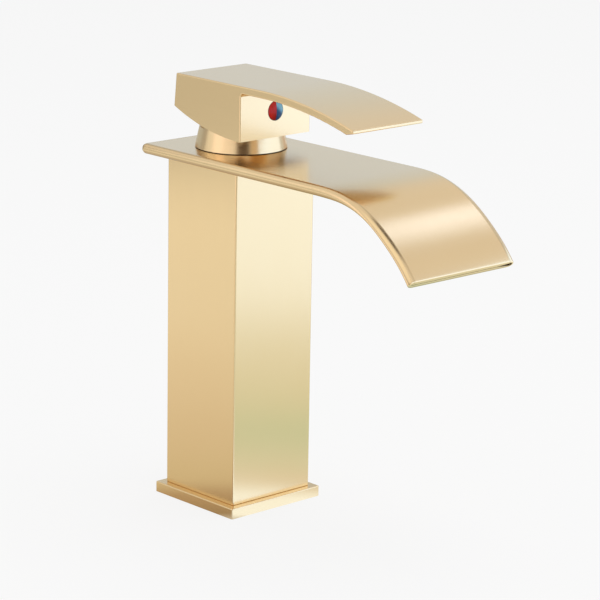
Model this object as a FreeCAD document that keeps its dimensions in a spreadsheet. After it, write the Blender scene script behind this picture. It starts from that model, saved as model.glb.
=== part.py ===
"""Single-lever waterfall basin tap, in millimetres, +Z up.

The origin is the centre of the foot plate on the deck. +X is the way the spout points, and hot water is on
the -Y side. The lever is drawn closed and at mid temperature. It turns about the Z axis and tilts about a
cross pin that sits at the centre of the round bonnet.
"""
import FreeCAD, Part
import os
import re

import Sketcher
from FreeCAD import Placement, Rotation, Vector

SIZES = {
    # clearances shared by several pieces
    "overrun": 2.0,
    "braze_gap": 0.05,
    "slide_gap": 0.3,
    "run_gap": 0.06,
    "press_gap": 0.02,
    "thread_gap": 0.1,
    # foot plate and its gasket
    "base_side": 51.8,
    "base_height": 4.7,
    "base_corner": 0.8,
    "base_edge": 0.5,
    "lip_wall": 2.0,
    "lip_height": 3.0,
    "gasket_inset": 3.0,
    "gasket_width": 2.6,
    "gasket_depth": 2.0,
    # column and the bar that takes the fixing stud
    "column_side": 45.0,
    "column_wall": 2.5,
    "column_corner": 0.8,
    "column_inner_corner": 1.0,
    "bridge_width": 11.0,
    "bridge_height": 10.0,
    "stud_radius": 3.4,
    # spout: a flattened tube that bends down to a slot
    "spout_top": 158.0,
    "spout_width": 60.6,
    "spout_thickness": 4.6,
    "spout_wall": 1.0,
    "spout_rear": 32.3,
    "spout_bead_rise": 0.12,
    "spout_bend_start": 83.5,
    "spout_bend_radius": 52.0,
    "spout_bend_angle": 34.0,
    "spout_lip_radius": 118.0,
    "spout_lip_angle": 14.7,
    "spout_lip_lean": 31.0,
    "mouth_depth": 6.0,
    "mouth_cover": 1.4,
    "mouth_height": 0.6,
    "cap_turn": 0.4,
    "cap_land": 0.4,
    "cap_spigot": 4.0,
    # valve block in the head of the column
    "valve_floor": 12.0,
    "valve_neck_radius": 19.2,
    "inlet_radius": 4.5,
    "inlet_depth": 8.0,
    "inlet_spread": 11.5,
    "inlet_setback": 4.0,
    "inlet_port_radius": 3.0,
    "inlet_port_spread": 8.4,
    "outlet_port_radius": 3.2,
    "outlet_offset": 8.2,
    "gallery_drop": 6.0,
    "riser_radius": 2.7,
    "riser_place": 15.9,
    # ceramic cartridge
    "cartridge_radius": 17.4,
    "cartridge_gap": 0.2,
    "cartridge_base_height": 5.5,
    "housing_wall": 1.8,
    "rim_height": 3.0,
    "rim_wall": 2.0,
    "peg_radius": 1.9,
    "peg_height": 2.2,
    "peg_place": 12.6,
    "seal_width": 1.4,
    "seal_height": 1.2,
    "fixed_disc_radius": 13.3,
    "fixed_disc_height": 3.5,
    "moving_disc_radius": 10.5,
    "moving_disc_height": 3.5,
    "chamber_depth": 2.2,
    "chamber_wall": 2.4,
    "carrier_radius": 11.5,
    "carrier_flange": 3.5,
    "carrier_floor": 1.8,
    "carrier_half_width": 6.0,
    "carrier_half_length": 6.5,
    "carrier_grip": 2.3,
    "turret_radius": 9.8,
    "turret_rise": 5.5,
    "turret_flange": 1.3,
    "turret_flange_radius": 14.0,
    "turret_slot_half": 6.5,
    "guide_wall": 2.4,
    "guide_half_length": 9.0,
    "shoulder_height": 2.3,
    "neck_wall": 2.0,
    "neck_rise": 6.0,
    "pin_radius": 1.5,
    # stem that the handle turns and tilts
    "stem_side": 8.0,
    "stem_length": 26.0,
    "stem_hub": 4.0,
    "stem_lean": 12.5,
    "stem_arm": 12.0,
    "shank_radius": 2.2,
    "ball_radius": 3.2,
    "ball_gap": 0.15,
    # nut, washer and bonnet over the cartridge
    "nut_radius": 18.2,
    "collar_radius": 16.9,
    "collar_rise": 5.5,
    "notch_width": 4.0,
    "notch_depth": 2.5,
    "washer_height": 0.3,
    "washer_width": 1.9,
    "bonnet_radius": 20.05,
    "bonnet_taper": 12.1,
    "bonnet_swing": 20.3,
    "bonnet_rise": 14.4,
    "bonnet_wall": 1.7,
    "bonnet_opening": 13.0,
    # handle block and lever, rises measured from the tilt axis
    "handle_width": 40.2,
    "handle_top_rise": 31.45,
    "handle_front": 21.76,
    "handle_front_rise": 7.35,
    "handle_back_top": 20.1,
    "handle_back_bottom": 21.45,
    "handle_back_rise": 17.15,
    "handle_under_radius": 110.0,
    "handle_side_wall": 1.6,
    "handle_end_wall": 2.5,
    "handle_edge": 0.55,
    "lever_thickness": 3.3,
    "lever_bend": 33.0,
    "lever_bend_radius": 197.0,
    "lever_tip": 90.35,
    "lever_tip_edge": 1.4,
    "lever_tip_bevel": 4.15,
    "lever_root_fillet": 1.5,
    "boss_half": 6.5,
    "boss_start": 16.0,
    "rib_half": 4.0,
    "rib_start": 15.2,
    "rib_end": 22.6,
    # set screw and the coloured mark in the handle's front
    "mark_rise": 18.8,
    "screw_radius": 2.5,
    "screw_length": 7.0,
    "screw_point": 1.5,
    "screw_tip_radius": 0.8,
    "hex_half": 1.25,
    "hex_depth": 2.5,
    "plug_radius": 4.25,
    "plug_seat": 1.3,
    "plug_spigot": 2.4,
    "mark_radius": 3.9,
    "mark_height": 0.9,
    "mark_crown": 0.55,
}

LEVELS = {
    # heights worked out from the sizes, from the bonnet's centre down to the cartridge's seat and back up
    "column_inside": "column_side - 2 * column_wall",
    "spout_under": "spout_top - spout_thickness",
    "spout_middle": "spout_top - spout_thickness / 2",
    "bead_radius": "spout_thickness / 2 + spout_bead_rise",
    "bead_inset": "bead_radius + sqrt(bead_radius^2 - (spout_thickness / 2)^2)",
    "cap_corner": "bead_radius + cap_turn",
    "tube_start": "cap_corner + cap_land - spout_rear",
    "ball_level": "spout_top - stem_arm",
    "carrier_bottom": "ball_level - ball_radius - slide_gap - carrier_floor",
    "carrier_top": "ball_level + carrier_grip",
    "moving_bottom": "carrier_bottom - moving_disc_height",
    "fixed_top": "moving_bottom - press_gap",
    "fixed_bottom": "fixed_top - fixed_disc_height",
    "seat_level": "fixed_bottom - cartridge_base_height",
    "valve_bottom": "seat_level - valve_floor",
    "turret_bottom": "carrier_top + slide_gap",
    "housing_roof": "turret_bottom + turret_flange + slide_gap",
    "shoulder_top": "housing_roof + shoulder_height",
    "housing_inside": "cartridge_radius - housing_wall",
    "neck_inside": "turret_radius + run_gap",
    "neck_outside": "neck_inside + neck_wall",
    "bore_radius": "cartridge_radius + cartridge_gap",
    "pin_reach": "turret_radius - slide_gap",
    "disc_start": "stem_arm * sin(stem_lean)",
    "bend_end_x": "spout_bend_start + spout_bend_radius * sin(spout_bend_angle)",
    "bend_end_z": "spout_top - spout_bend_radius * (1 - cos(spout_bend_angle))",
    "lip_turn": "spout_bend_angle + spout_lip_angle",
    "lip_x": "bend_end_x + spout_lip_radius * (sin(lip_turn) - sin(spout_bend_angle))",
    "lip_z": "bend_end_z - spout_lip_radius * (cos(spout_bend_angle) - cos(lip_turn))",
    "mouth_turn": "lip_turn - mouth_depth / spout_lip_radius * 180 / pi",
    "mouth_x": "bend_end_x + spout_lip_radius * (sin(mouth_turn) - sin(spout_bend_angle))",
    "mouth_z": "bend_end_z - spout_lip_radius * (cos(spout_bend_angle) - cos(mouth_turn))",
    "bonnet_slope": "tan(bonnet_taper)",
    "bonnet_cone": "bonnet_radius + washer_height * bonnet_slope",
    "cone_share": "bonnet_cone * bonnet_slope",
    "cone_spread": "1 + bonnet_slope^2",
    "shoulder_rise": "(cone_share + sqrt(cone_share^2 + cone_spread * (bonnet_swing^2 - bonnet_cone^2))) / cone_spread",
    "shoulder_radius": "bonnet_cone - bonnet_slope * shoulder_rise",
    "roof_rise": "handle_top_rise - lever_thickness",
    "lever_centre": "handle_top_rise - lever_bend_radius",
    "lever_under_radius": "lever_bend_radius - lever_thickness",
    "bevel_start": "lever_tip - lever_tip_bevel",
    "screw_start": "mark_rise * tan(stem_lean) + stem_side / 2 / cos(stem_lean)",
    "plug_floor": "handle_front - plug_seat",
}

doc = FreeCAD.newDocument("basin_tap")
sheet = doc.addObject("Spreadsheet::Sheet", "Sizes")
PIECES = []


def fill_sheet():
    """Write the driving sizes as numbers and the levels as formulas, each under its own alias."""
    rows = [(name, str(number)) for name, number in SIZES.items()]
    rows += [(name, "=" + text) for name, text in LEVELS.items()]
    for row, (name, content) in enumerate(rows, start=1):
        sheet.set(f"A{row}", name)
        sheet.set(f"B{row}", content)
        sheet.setAlias(f"B{row}", name)
    doc.recompute()


def qualified(text):
    """Put the sheet's name before each alias in a formula."""
    known = {**SIZES, **LEVELS}
    return re.sub(r"[a-z_]+", lambda m: "Sizes." + m[0] if m[0] in known else m[0], text)


def value(text):
    """The number that a formula of aliases gives."""
    return float(sheet.evalExpression(qualified(text)))


def bind(item, name, text):
    """Tie one property of a document object to a formula of aliases."""
    item.setExpression(name, qualified(text))


def new_body(label, height="0"):
    """A part design body with its own label, placed at a height above the deck."""
    body = doc.addObject("PartDesign::Body", label)
    body.Label = label
    bind(body, "Placement.Base.z", height)
    PIECES.append(body)
    return body


def origin_feature(body, role):
    return next(item for item in body.Origin.OriginFeatures if item.Role == role)


def add_circle(sketch, centre_x, centre_y, radius):
    """A circle whose centre and radius are formulas."""
    centre = Vector(value(centre_x), value(centre_y), 0)
    index = sketch.addGeometry(Part.Circle(centre, Vector(0, 0, 1), value(radius)))
    fix_point(sketch, index, 3, centre_x, centre_y)
    fix_length(sketch, Sketcher.Constraint("Radius", index, value(radius)), radius)


def fix_length(sketch, constraint, text):
    """Add a constraint whose value follows a formula."""
    number = sketch.addConstraint(constraint)
    bind(sketch, f"Constraints[{number}]", text)


def fix_point(sketch, index, place, text_x, text_y):
    """Hold a point of a sketch at two formulas measured from its origin."""
    for kind, text in (("DistanceX", text_x), ("DistanceY", text_y)):
        rule = Sketcher.Constraint(kind, -1, 1, index, place, value(text))
        fix_length(sketch, rule, text)


def arc_between(start, end, radius, turn):
    """A minor arc from start to end; turn is 1 for anticlockwise and -1 for clockwise."""
    chord = end - start
    middle = (start + end) * 0.5
    across = Vector(-chord.y, chord.x, 0).normalize()
    reach = max(radius**2 - (chord.Length / 2) ** 2, 0) ** 0.5
    centre = middle + across * (reach * turn)
    through = centre + (middle - centre).normalize() * radius
    return Part.Arc(start, through, end)


def add_loop(sketch, corners, closed=True):
    """Lines and arcs through corners, each written (x, y) or (x, y, radius of the arc to the next, turn)."""
    spots = [Vector(value(c[0]), value(c[1]), 0) for c in corners]
    count = len(corners) if closed else len(corners) - 1
    edges = []
    for i in range(count):
        start, end = spots[i], spots[(i + 1) % len(spots)]
        if len(corners[i]) == 2:
            edges.append((sketch.addGeometry(Part.LineSegment(start, end)), 1, 2))
            continue
        radius, turn = corners[i][2:]
        index = sketch.addGeometry(arc_between(start, end, value(radius), turn))
        edges.append((index, 1, 2) if turn > 0 else (index, 2, 1))
    for i in range(count):
        index, first, last = edges[i]
        fix_point(sketch, index, first, corners[i][0], corners[i][1])
        if i + 1 < len(edges):
            following = edges[i + 1]
            sketch.addConstraint(Sketcher.Constraint("Coincident", index, last, following[0], following[1]))
        elif closed:
            sketch.addConstraint(Sketcher.Constraint("Coincident", index, last, edges[0][0], edges[0][1]))
        else:
            fix_point(sketch, index, last, corners[-1][0], corners[-1][1])
    for i in range(count):
        if len(corners[i]) > 2:
            radius = corners[i][2]
            rule = Sketcher.Constraint("Radius", edges[i][0], value(radius))
            fix_length(sketch, rule, radius)


def new_sketch(body, name, role, offset="0"):
    """An empty sketch on one of the body's own planes, moved along that plane's normal."""
    sketch = body.newObject("Sketcher::SketchObject", name)
    sketch.AttachmentSupport = [(origin_feature(body, role), "")]
    sketch.MapMode = "FlatFace"
    bind(sketch, "AttachmentOffset.Base.z", offset)
    return sketch


def square_corners(half_x, half_y, radius):
    """The corners of a rectangle with rounded corners, about the sketch's origin."""
    inner_x, inner_y = f"({half_x} - {radius})", f"({half_y} - {radius})"
    return [
        (half_x, f"-{inner_y}"),
        (half_x, inner_y, radius, 1),
        (inner_x, half_y),
        (f"-{inner_x}", half_y, radius, 1),
        (f"-({half_x})", inner_y),
        (f"-({half_x})", f"-{inner_y}", radius, 1),
        (f"-{inner_x}", f"-({half_y})"),
        (inner_x, f"-({half_y})", radius, 1),
    ]


def box_corners(left, right, low, high):
    return [(left, low), (right, low), (right, high), (left, high)]


def stadium_corners(half_width, half_height, middle):
    """A flattened tube's section: straight long sides and half-round short ones, about a middle height."""
    flat = f"({half_width} - {half_height})"
    low, high = f"({middle}) - {half_height}", f"({middle}) + {half_height}"
    return [
        (flat, low, half_height, 1),
        (half_width, middle, half_height, 1),
        (flat, high),
        (f"-{flat}", high, half_height, 1),
        (f"-({half_width})", middle, half_height, 1),
        (f"-{flat}", low),
    ]


def beaded_corners():
    """The spout's outer section: flat long sides, and round edges a little thicker than the plate between."""
    half, edge = "(spout_width / 2)", "(spout_width / 2 - bead_inset)"
    return [
        (edge, "spout_under", "bead_radius", 1),
        (half, "spout_middle", "bead_radius", 1),
        (edge, "spout_top"),
        (f"-{edge}", "spout_top", "bead_radius", 1),
        (f"-{half}", "spout_middle", "bead_radius", 1),
        (f"-{edge}", "spout_under"),
    ]


def add_feature(body, kind, name, sketch, settings):
    """A feature from a sketch: texts that name a bound size, and plain properties, are set from a dict."""
    feature = body.newObject("PartDesign::" + kind, name)
    feature.Profile = sketch
    for key, setting in settings.items():
        if key in ("Length", "Length2", "Angle"):
            bind(feature, key, setting)
        else:
            setattr(feature, key, setting)
    sketch.Visibility = False
    return feature


def pad(body, name, sketch, length, symmetric=False):
    side = "Symmetric" if symmetric else "One side"
    return add_feature(body, "Pad", name, sketch, {"SideType": side, "Length": length})


def pocket(body, name, sketch, length, upward=False, symmetric=False):
    """Cut a sketch away, and check that the cut met the solid."""
    doc.recompute()
    before = body.Shape.Volume
    side = "Symmetric" if symmetric else "One side"
    settings = {"SideType": side, "Length": length, "Reversed": upward}
    feature = add_feature(body, "Pocket", name, sketch, settings)
    doc.recompute()
    if body.Shape.Volume >= before:
        raise RuntimeError(f"{body.Label}: {name} cuts nothing")
    return feature


def revolve(body, name, sketch, role="Z_Axis", angle="360"):
    feature = add_feature(body, "Revolution", name, sketch, {"Angle": angle})
    feature.ReferenceAxis = (origin_feature(body, role), [""])
    return feature


def round_edges(body, name, radius, chosen):
    """Fillet the edges of the body's present shape that a test accepts."""
    doc.recompute()
    base = body.Tip
    edges = [f"Edge{i}" for i, edge in enumerate(base.Shape.Edges, start=1) if chosen(edge)]
    if not edges:
        raise RuntimeError(f"{body.Label}: {name} finds no edge")
    feature = body.newObject("PartDesign::Fillet", name)
    feature.Base = (base, edges)
    bind(feature, "Radius", radius)
    doc.recompute()
    return feature


def near(first, second):
    return abs(first - second) < value("press_gap")


def hole(body, name, places, radius, start, length, upward=False):
    """Round holes along Z from a level, one for each (x, y) place."""
    sketch = new_sketch(body, name + "_places", "XY_Plane", start)
    for place in places:
        add_circle(sketch, place[0], place[1], radius)
    return pocket(body, name, sketch, length, upward)


def cross_hole(body, name, role, place, radius, offset, length, symmetric=True):
    """A round hole square to one of the upright planes."""
    sketch = new_sketch(body, name + "_place", role, offset)
    add_circle(sketch, place[0], place[1], radius)
    return pocket(body, name, sketch, length, symmetric=symmetric)


def ring_pad(body, name, outer, inner, start, length):
    """A square ring between two rounded rectangles."""
    sketch = new_sketch(body, name + "_outline", "XY_Plane", start)
    add_loop(sketch, outer)
    add_loop(sketch, inner)
    return pad(body, name, sketch, length)


def inlet_places():
    return [("-inlet_setback", f"{side} * inlet_spread") for side in (-1, 1)]


def port_places():
    """The two inlets and the outlet, with their radii, in the cartridge's seat."""
    inlets = [("-inlet_setback", f"{side} * inlet_port_spread", "inlet_port_radius") for side in (-1, 1)]
    return inlets + [("outlet_offset", "0", "outlet_port_radius")]


def add_ports(body, name, start, length, upward):
    """The three water ways through a piece of the cartridge."""
    sketch = new_sketch(body, name + "_places", "XY_Plane", start)
    for x, y, radius in port_places():
        add_circle(sketch, x, y, radius)
    pocket(body, name, sketch, length, upward)


def add_seal_seats(body, name, start, upward):
    """Round recesses about the three ports, which hold the seal rings."""
    sketch = new_sketch(body, name + "_places", "XY_Plane", start)
    for x, y, radius in port_places():
        add_circle(sketch, x, y, f"{radius} + seal_width")
    pocket(body, name, sketch, "seal_height", upward)


def make_base_plate():
    """Square foot plate with a lip that enters the column and a gasket groove beneath."""
    body = new_body("base_plate")
    lip_half = "(column_inside / 2 - thread_gap)"
    opening = square_corners(f"({lip_half} - lip_wall)", f"({lip_half} - lip_wall)", "column_inner_corner")
    outside = square_corners("(base_side / 2)", "(base_side / 2)", "base_corner")
    ring_pad(body, "plate", outside, opening, "0", "base_height")
    round_edges(body, "top_edge", "base_edge", lambda e: is_outer_rim(e, "base_height"))
    lip = square_corners(lip_half, lip_half, "column_inner_corner")
    ring_pad(body, "lip", lip, opening, "base_height", "lip_height")
    groove = new_sketch(body, "groove_outline", "XY_Plane")
    add_loop(groove, gasket_outline("0"))
    add_loop(groove, gasket_outline("gasket_width"))
    pocket(body, "groove", groove, "gasket_depth", upward=True)


def is_outer_rim(edge, level):
    """Does an edge lie at a level, outside the column?"""
    box = edge.BoundBox
    flat = near(box.ZMin, value(level)) and near(box.ZMax, value(level))
    middle = box.Center
    return flat and max(abs(middle.x), abs(middle.y)) > value("column_side / 2")


def gasket_outline(inset):
    half = f"(base_side / 2 - gasket_inset - {inset})"
    return square_corners(half, half, "base_corner")


def make_base_gasket():
    """Rubber ring that fills the groove and ends level with the plate's underside."""
    body = new_body("base_gasket")
    ring_pad(body, "ring", gasket_outline("thread_gap"), gasket_outline("(gasket_width - thread_gap)"),
             "0", "gasket_depth")


def make_column():
    """Square tube from the foot plate to the spout's underside."""
    body = new_body("column", "base_height")
    outer = square_corners("(column_side / 2)", "(column_side / 2)", "column_corner")
    inner = square_corners("(column_inside / 2)", "(column_inside / 2)", "column_inner_corner")
    ring_pad(body, "tube", outer, inner, "0", "spout_under - base_height")


def make_stud_bridge():
    """Bar brazed between the column's front and back walls, tapped for the fixing stud."""
    body = new_body("stud_bridge", "base_height + lip_height + slide_gap")
    sketch = new_sketch(body, "bar_outline", "XY_Plane")
    half = "(column_inside / 2 - braze_gap)"
    add_loop(sketch, box_corners(f"-{half}", half, "-bridge_width / 2", "bridge_width / 2"))
    pad(body, "bar", sketch, "bridge_height")
    hole(body, "stud_thread", [("0", "0")], "stud_radius", "0", "bridge_height", upward=True)


def make_valve_block():
    """Brass core in the column's head: two inlets below, a cartridge bore above and a neck through the spout."""
    body = new_body("valve_block")
    half = "(column_inside / 2 - braze_gap)"
    block = new_sketch(body, "block_outline", "XY_Plane", "valve_bottom")
    add_loop(block, square_corners(half, half, "column_inner_corner"))
    pad(body, "block", block, "spout_under - valve_bottom")
    neck = new_sketch(body, "neck_outline", "XY_Plane", "spout_under")
    add_circle(neck, "0", "0", "valve_neck_radius")
    pad(body, "neck", neck, "spout_thickness")
    bore_length = "spout_top - seat_level"
    hole(body, "cartridge_bore", [("0", "0")], "bore_radius", "spout_top", bore_length)
    nut_length = "spout_top - shoulder_top + thread_gap"
    hole(body, "nut_thread", [("0", "0")], "nut_radius + thread_gap", "spout_top", nut_length)
    hole(body, "inlets", inlet_places(), "inlet_radius", "valve_bottom", "inlet_depth", upward=True)
    inlet_roof = "valve_bottom + inlet_depth - overrun"
    inlets = [place[:2] for place in port_places()[:2]]
    hole(body, "inlet_ports", inlets, "inlet_port_radius", inlet_roof, "seat_level - valve_bottom", upward=True)
    add_outlet_ways(body)
    pegs = [("0", f"{side} * peg_place") for side in (-1, 1)]
    hole(body, "peg_holes", pegs, "peg_radius + thread_gap", "seat_level", "peg_height + thread_gap")


def add_outlet_ways(body):
    """From the seat down to a cross gallery, and up two corner risers to the spout's underside."""
    gallery = "seat_level - gallery_drop"
    hole(body, "outlet_port", [("outlet_offset", "0")], "outlet_port_radius", "seat_level", "gallery_drop")
    cross_hole(body, "front_way", "YZ_Plane", ("0", gallery), "riser_radius", "(riser_place + outlet_offset) / 2",
               "riser_place - outlet_offset")
    cross_hole(body, "gallery", "XZ_Plane", ("riser_place", gallery), "riser_radius", "0",
               "2 * riser_place + riser_radius")
    risers = [("riser_place", f"{side} * riser_place") for side in (-1, 1)]
    hole(body, "risers", risers, "riser_radius", gallery, "spout_under - (seat_level - gallery_drop)", upward=True)


def add_spout_spine(body, name, end):
    """The tube's middle line: straight, then two tangent arcs to the end named, the lip or the mouth behind it."""
    sketch = new_sketch(body, name, "XZ_Plane")
    half = "spout_thickness / 2"
    bend_x = f"bend_end_x - {half} * sin(spout_bend_angle)"
    bend_z = f"bend_end_z - {half} * cos(spout_bend_angle)"
    end_x = f"{end}_x - {half} * sin({end}_turn)"
    end_z = f"{end}_z - {half} * cos({end}_turn)"
    corners = [
        ("tube_start", "spout_middle"),
        ("spout_bend_start", "spout_middle", f"spout_bend_radius - {half}", -1),
        (bend_x, bend_z, f"spout_lip_radius - {half}", -1),
        (end_x, end_z),
    ]
    if end == "lip":
        # a short straight run past the lip, which the lip's cut takes off
        corners.append((f"{end_x} + spout_thickness * cos(lip_turn)", f"{end_z} - spout_thickness * sin(lip_turn)"))
    add_loop(sketch, corners, closed=False)
    return sketch


def add_pipe(body, kind, name, corners, spine):
    """Carry a flattened section along the spine."""
    section = new_sketch(body, name + "_section", "YZ_Plane", "tube_start")
    add_loop(section, corners)
    doc.recompute()
    feature = body.newObject("PartDesign::" + kind, name)
    feature.Profile = section
    feature.Spine = spine
    feature.Transition = "Transformed"
    doc.recompute()


def make_spout():
    """Flattened tube brazed on the column, bent down at the front, where a bar leaves a thin wide slot open."""
    body = new_body("spout")
    spine = add_spout_spine(body, "spine", "lip")
    add_pipe(body, "AdditivePipe", "tube", beaded_corners(), spine)
    add_pipe(body, "SubtractivePipe", "channel", channel_corners("spout_wall"),
             add_spout_spine(body, "channel_spine", "mouth"))
    slot = stadium_corners("(spout_width / 2 - 2 * spout_wall)", "(mouth_height / 2)",
                           "(spout_top - mouth_cover - mouth_height / 2)")
    add_pipe(body, "SubtractivePipe", "mouth", slot, spine)
    hole(body, "neck_hole", [("0", "0")], "valve_neck_radius + braze_gap", "spout_under - overrun",
         "spout_thickness + 2 * overrun", upward=True)
    risers = [("riser_place", f"{side} * riser_place") for side in (-1, 1)]
    hole(body, "riser_holes", risers, "riser_radius", "spout_under - overrun", "overrun + 2 * spout_wall",
         upward=True)
    cut = new_sketch(body, "lip_outline", "XZ_Plane")
    far = "(2 * spout_thickness)"
    up_x, up_z = f"{far} * sin(spout_lip_lean)", f"{far} * cos(spout_lip_lean)"
    add_loop(cut, [
        (f"lip_x + {up_x}", f"lip_z + {up_z}"),
        (f"lip_x - {up_x}", f"lip_z - {up_z}"),
        (f"lip_x - {up_x} + {up_z}", f"lip_z - {up_z} - {up_x}"),
        (f"lip_x + {up_x} + {up_z}", f"lip_z + {up_z} - {up_x}"),
    ])
    pocket(body, "lip_cut", cut, "spout_width + 2 * overrun", symmetric=True)


def channel_corners(wall):
    """The flattened section left inside the spout by a wall."""
    return stadium_corners(f"(spout_width / 2 - ({wall}))", f"(spout_thickness / 2 - ({wall}))", "spout_middle")


def make_spout_end_cap():
    """Closed end behind the bonnet: round edges, round corners in plan and a spigot that enters the tube."""
    body = new_body("spout_end_cap")
    half, inner = "(spout_width / 2)", "(spout_width / 2 - cap_corner)"
    outline = new_sketch(body, "cap_outline", "XY_Plane", "spout_middle - bead_radius")
    add_loop(outline, [
        ("tube_start", f"-{half}"),
        ("tube_start", half),
        ("cap_corner - spout_rear", half, "cap_corner", 1),
        ("-spout_rear", inner),
        ("-spout_rear", f"-{inner}", "cap_corner", 1),
        ("cap_corner - spout_rear", f"-{half}"),
    ])
    pad(body, "cap", outline, "2 * bead_radius")
    round_edges(body, "round_end", "bead_radius - press_gap", is_cap_rim)
    spigot = new_sketch(body, "spigot_section", "YZ_Plane", "tube_start")
    add_loop(spigot, channel_corners("spout_wall + braze_gap"))
    pad(body, "spigot", spigot, "cap_spigot")


def is_cap_rim(edge):
    """The cap's upper and lower edges, without those that meet the tube."""
    box = edge.BoundBox
    level = near(box.ZMin, box.ZMax)
    return level and box.Center.x < value("tube_start - press_gap")


def make_cartridge_base():
    """Lower half of the cartridge: three ports, two locating pegs and a rim about the fixed disc."""
    body = new_body("cartridge_base")
    outline = new_sketch(body, "turned_outline", "XZ_Plane")
    rim_outside, rim_inside = "fixed_disc_radius + thread_gap + rim_wall", "fixed_disc_radius + thread_gap"
    add_loop(outline, [
        ("0", "seat_level"),
        ("cartridge_radius", "seat_level"),
        ("cartridge_radius", "fixed_bottom"),
        (rim_outside, "fixed_bottom"),
        (rim_outside, "fixed_bottom + rim_height"),
        (rim_inside, "fixed_bottom + rim_height"),
        (rim_inside, "fixed_bottom"),
        ("0", "fixed_bottom"),
    ])
    revolve(body, "turned", outline)
    pegs = new_sketch(body, "peg_places", "XY_Plane", "seat_level - peg_height")
    for side in (-1, 1):
        add_circle(pegs, "0", f"{side} * peg_place", "peg_radius")
    pad(body, "pegs", pegs, "peg_height + seal_height")
    add_ports(body, "ports", "seat_level", "cartridge_base_height", upward=True)
    add_seal_seats(body, "lower_seats", "seat_level", upward=True)
    add_seal_seats(body, "upper_seats", "fixed_bottom", upward=False)


def make_seals(label, height):
    """Three rubber rings, one about each port, level with the face that they seal."""
    rings = []
    for x, y, radius in port_places():
        outer = part_cylinder(f"{radius} + seal_width - press_gap", "seal_height")
        inner = part_cylinder(f"{radius}", "seal_height")
        ring = doc.addObject("Part::Cut", label + "_ring")
        ring.Base, ring.Tool = outer, inner
        for axis, text in (("x", x), ("y", y)):
            bind(ring, f"Placement.Base.{axis}", text)
        rings.append(ring)
    seals = doc.addObject("Part::Compound", label)
    seals.Label = label
    seals.Links = rings
    bind(seals, "Placement.Base.z", height)
    PIECES.append(seals)


def part_cylinder(radius, length):
    cylinder = doc.addObject("Part::Cylinder", "round")
    bind(cylinder, "Radius", radius)
    bind(cylinder, "Height", length)
    return cylinder


def make_fixed_disc():
    """Ceramic disc with the three ports, held in the cartridge's base."""
    body = new_body("fixed_disc")
    outline = new_sketch(body, "disc_outline", "XY_Plane", "fixed_bottom")
    add_circle(outline, "0", "0", "fixed_disc_radius")
    pad(body, "disc", outline, "fixed_disc_height")
    add_ports(body, "ports", "fixed_bottom", "fixed_disc_height", upward=True)


def make_moving_disc():
    """Ceramic disc with a mixing chamber in its underside, drawn in the closed place."""
    body = new_body("moving_disc", "moving_bottom")
    bind(body, "Placement.Base.x", "-disc_start")
    outline = new_sketch(body, "disc_outline", "XY_Plane")
    add_circle(outline, "0", "0", "moving_disc_radius")
    pad(body, "disc", outline, "moving_disc_height")
    hole(body, "chamber", [("0", "0")], "moving_disc_radius - chamber_wall", "0", "chamber_depth", upward=True)


def make_disc_carrier():
    """Slide on the moving disc: a block between the stem carrier's guides, with a socket for the ball."""
    body = new_body("disc_carrier", "carrier_bottom")
    bind(body, "Placement.Base.x", "-disc_start")
    flange = new_sketch(body, "flange_outline", "XY_Plane")
    add_circle(flange, "0", "0", "carrier_radius")
    pad(body, "flange", flange, "carrier_flange")
    block = new_sketch(body, "block_outline", "XY_Plane")
    add_loop(block, box_corners("-carrier_half_length", "carrier_half_length",
                                "-carrier_half_width", "carrier_half_width"))
    height = "(carrier_top - carrier_bottom)"
    pad(body, "block", block, height)
    hole(body, "ball_socket", [("0", "0")], "ball_radius + ball_gap", height, f"{height} - carrier_floor")


def make_cartridge_housing():
    """Upper half of the cartridge: a cup over the discs, a shoulder for the nut and a neck for the stem carrier."""
    body = new_body("cartridge_housing")
    outline = new_sketch(body, "turned_outline", "XZ_Plane")
    add_loop(outline, [
        ("housing_inside", "fixed_bottom"),
        ("cartridge_radius", "fixed_bottom"),
        ("cartridge_radius", "shoulder_top"),
        ("neck_outside", "shoulder_top"),
        ("neck_outside", "spout_top + neck_rise"),
        ("neck_inside", "spout_top + neck_rise"),
        ("neck_inside", "housing_roof"),
        ("housing_inside", "housing_roof"),
    ])
    revolve(body, "turned", outline)


def make_stem_carrier():
    """Turning piece in the housing's neck: slotted for the stem, drilled for the pin, with guides below."""
    body = new_body("stem_carrier")
    outline = new_sketch(body, "turned_outline", "XZ_Plane")
    add_loop(outline, [
        ("0", "turret_bottom"),
        ("turret_flange_radius", "turret_bottom"),
        ("turret_flange_radius", "turret_bottom + turret_flange"),
        ("turret_radius", "turret_bottom + turret_flange"),
        ("turret_radius", "spout_top + turret_rise"),
        ("0", "spout_top + turret_rise"),
    ])
    revolve(body, "turned", outline)
    guide_bottom = "(carrier_bottom + carrier_flange + slide_gap)"
    guides = new_sketch(body, "guide_outline", "XY_Plane", guide_bottom)
    inner = "(carrier_half_width + ball_gap)"
    outer = f"({inner} + guide_wall)"
    add_loop(guides, box_corners("-guide_half_length", "guide_half_length", inner, outer))
    add_loop(guides, box_corners("-guide_half_length", "guide_half_length", f"-{outer}", f"-{inner}"))
    pad(body, "guides", guides, f"turret_bottom - {guide_bottom} + turret_flange / 2")
    slot = new_sketch(body, "slot_outline", "XY_Plane", "spout_top + turret_rise")
    half = "(stem_side / 2 + ball_gap)"
    add_loop(slot, box_corners("-turret_slot_half", "turret_slot_half", f"-{half}", half))
    pocket(body, "slot", slot, "spout_top + turret_rise - turret_bottom")
    cross_hole(body, "pin_hole", "XZ_Plane", ("0", "spout_top"), "pin_radius + press_gap", "0", "2 * turret_radius")


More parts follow.
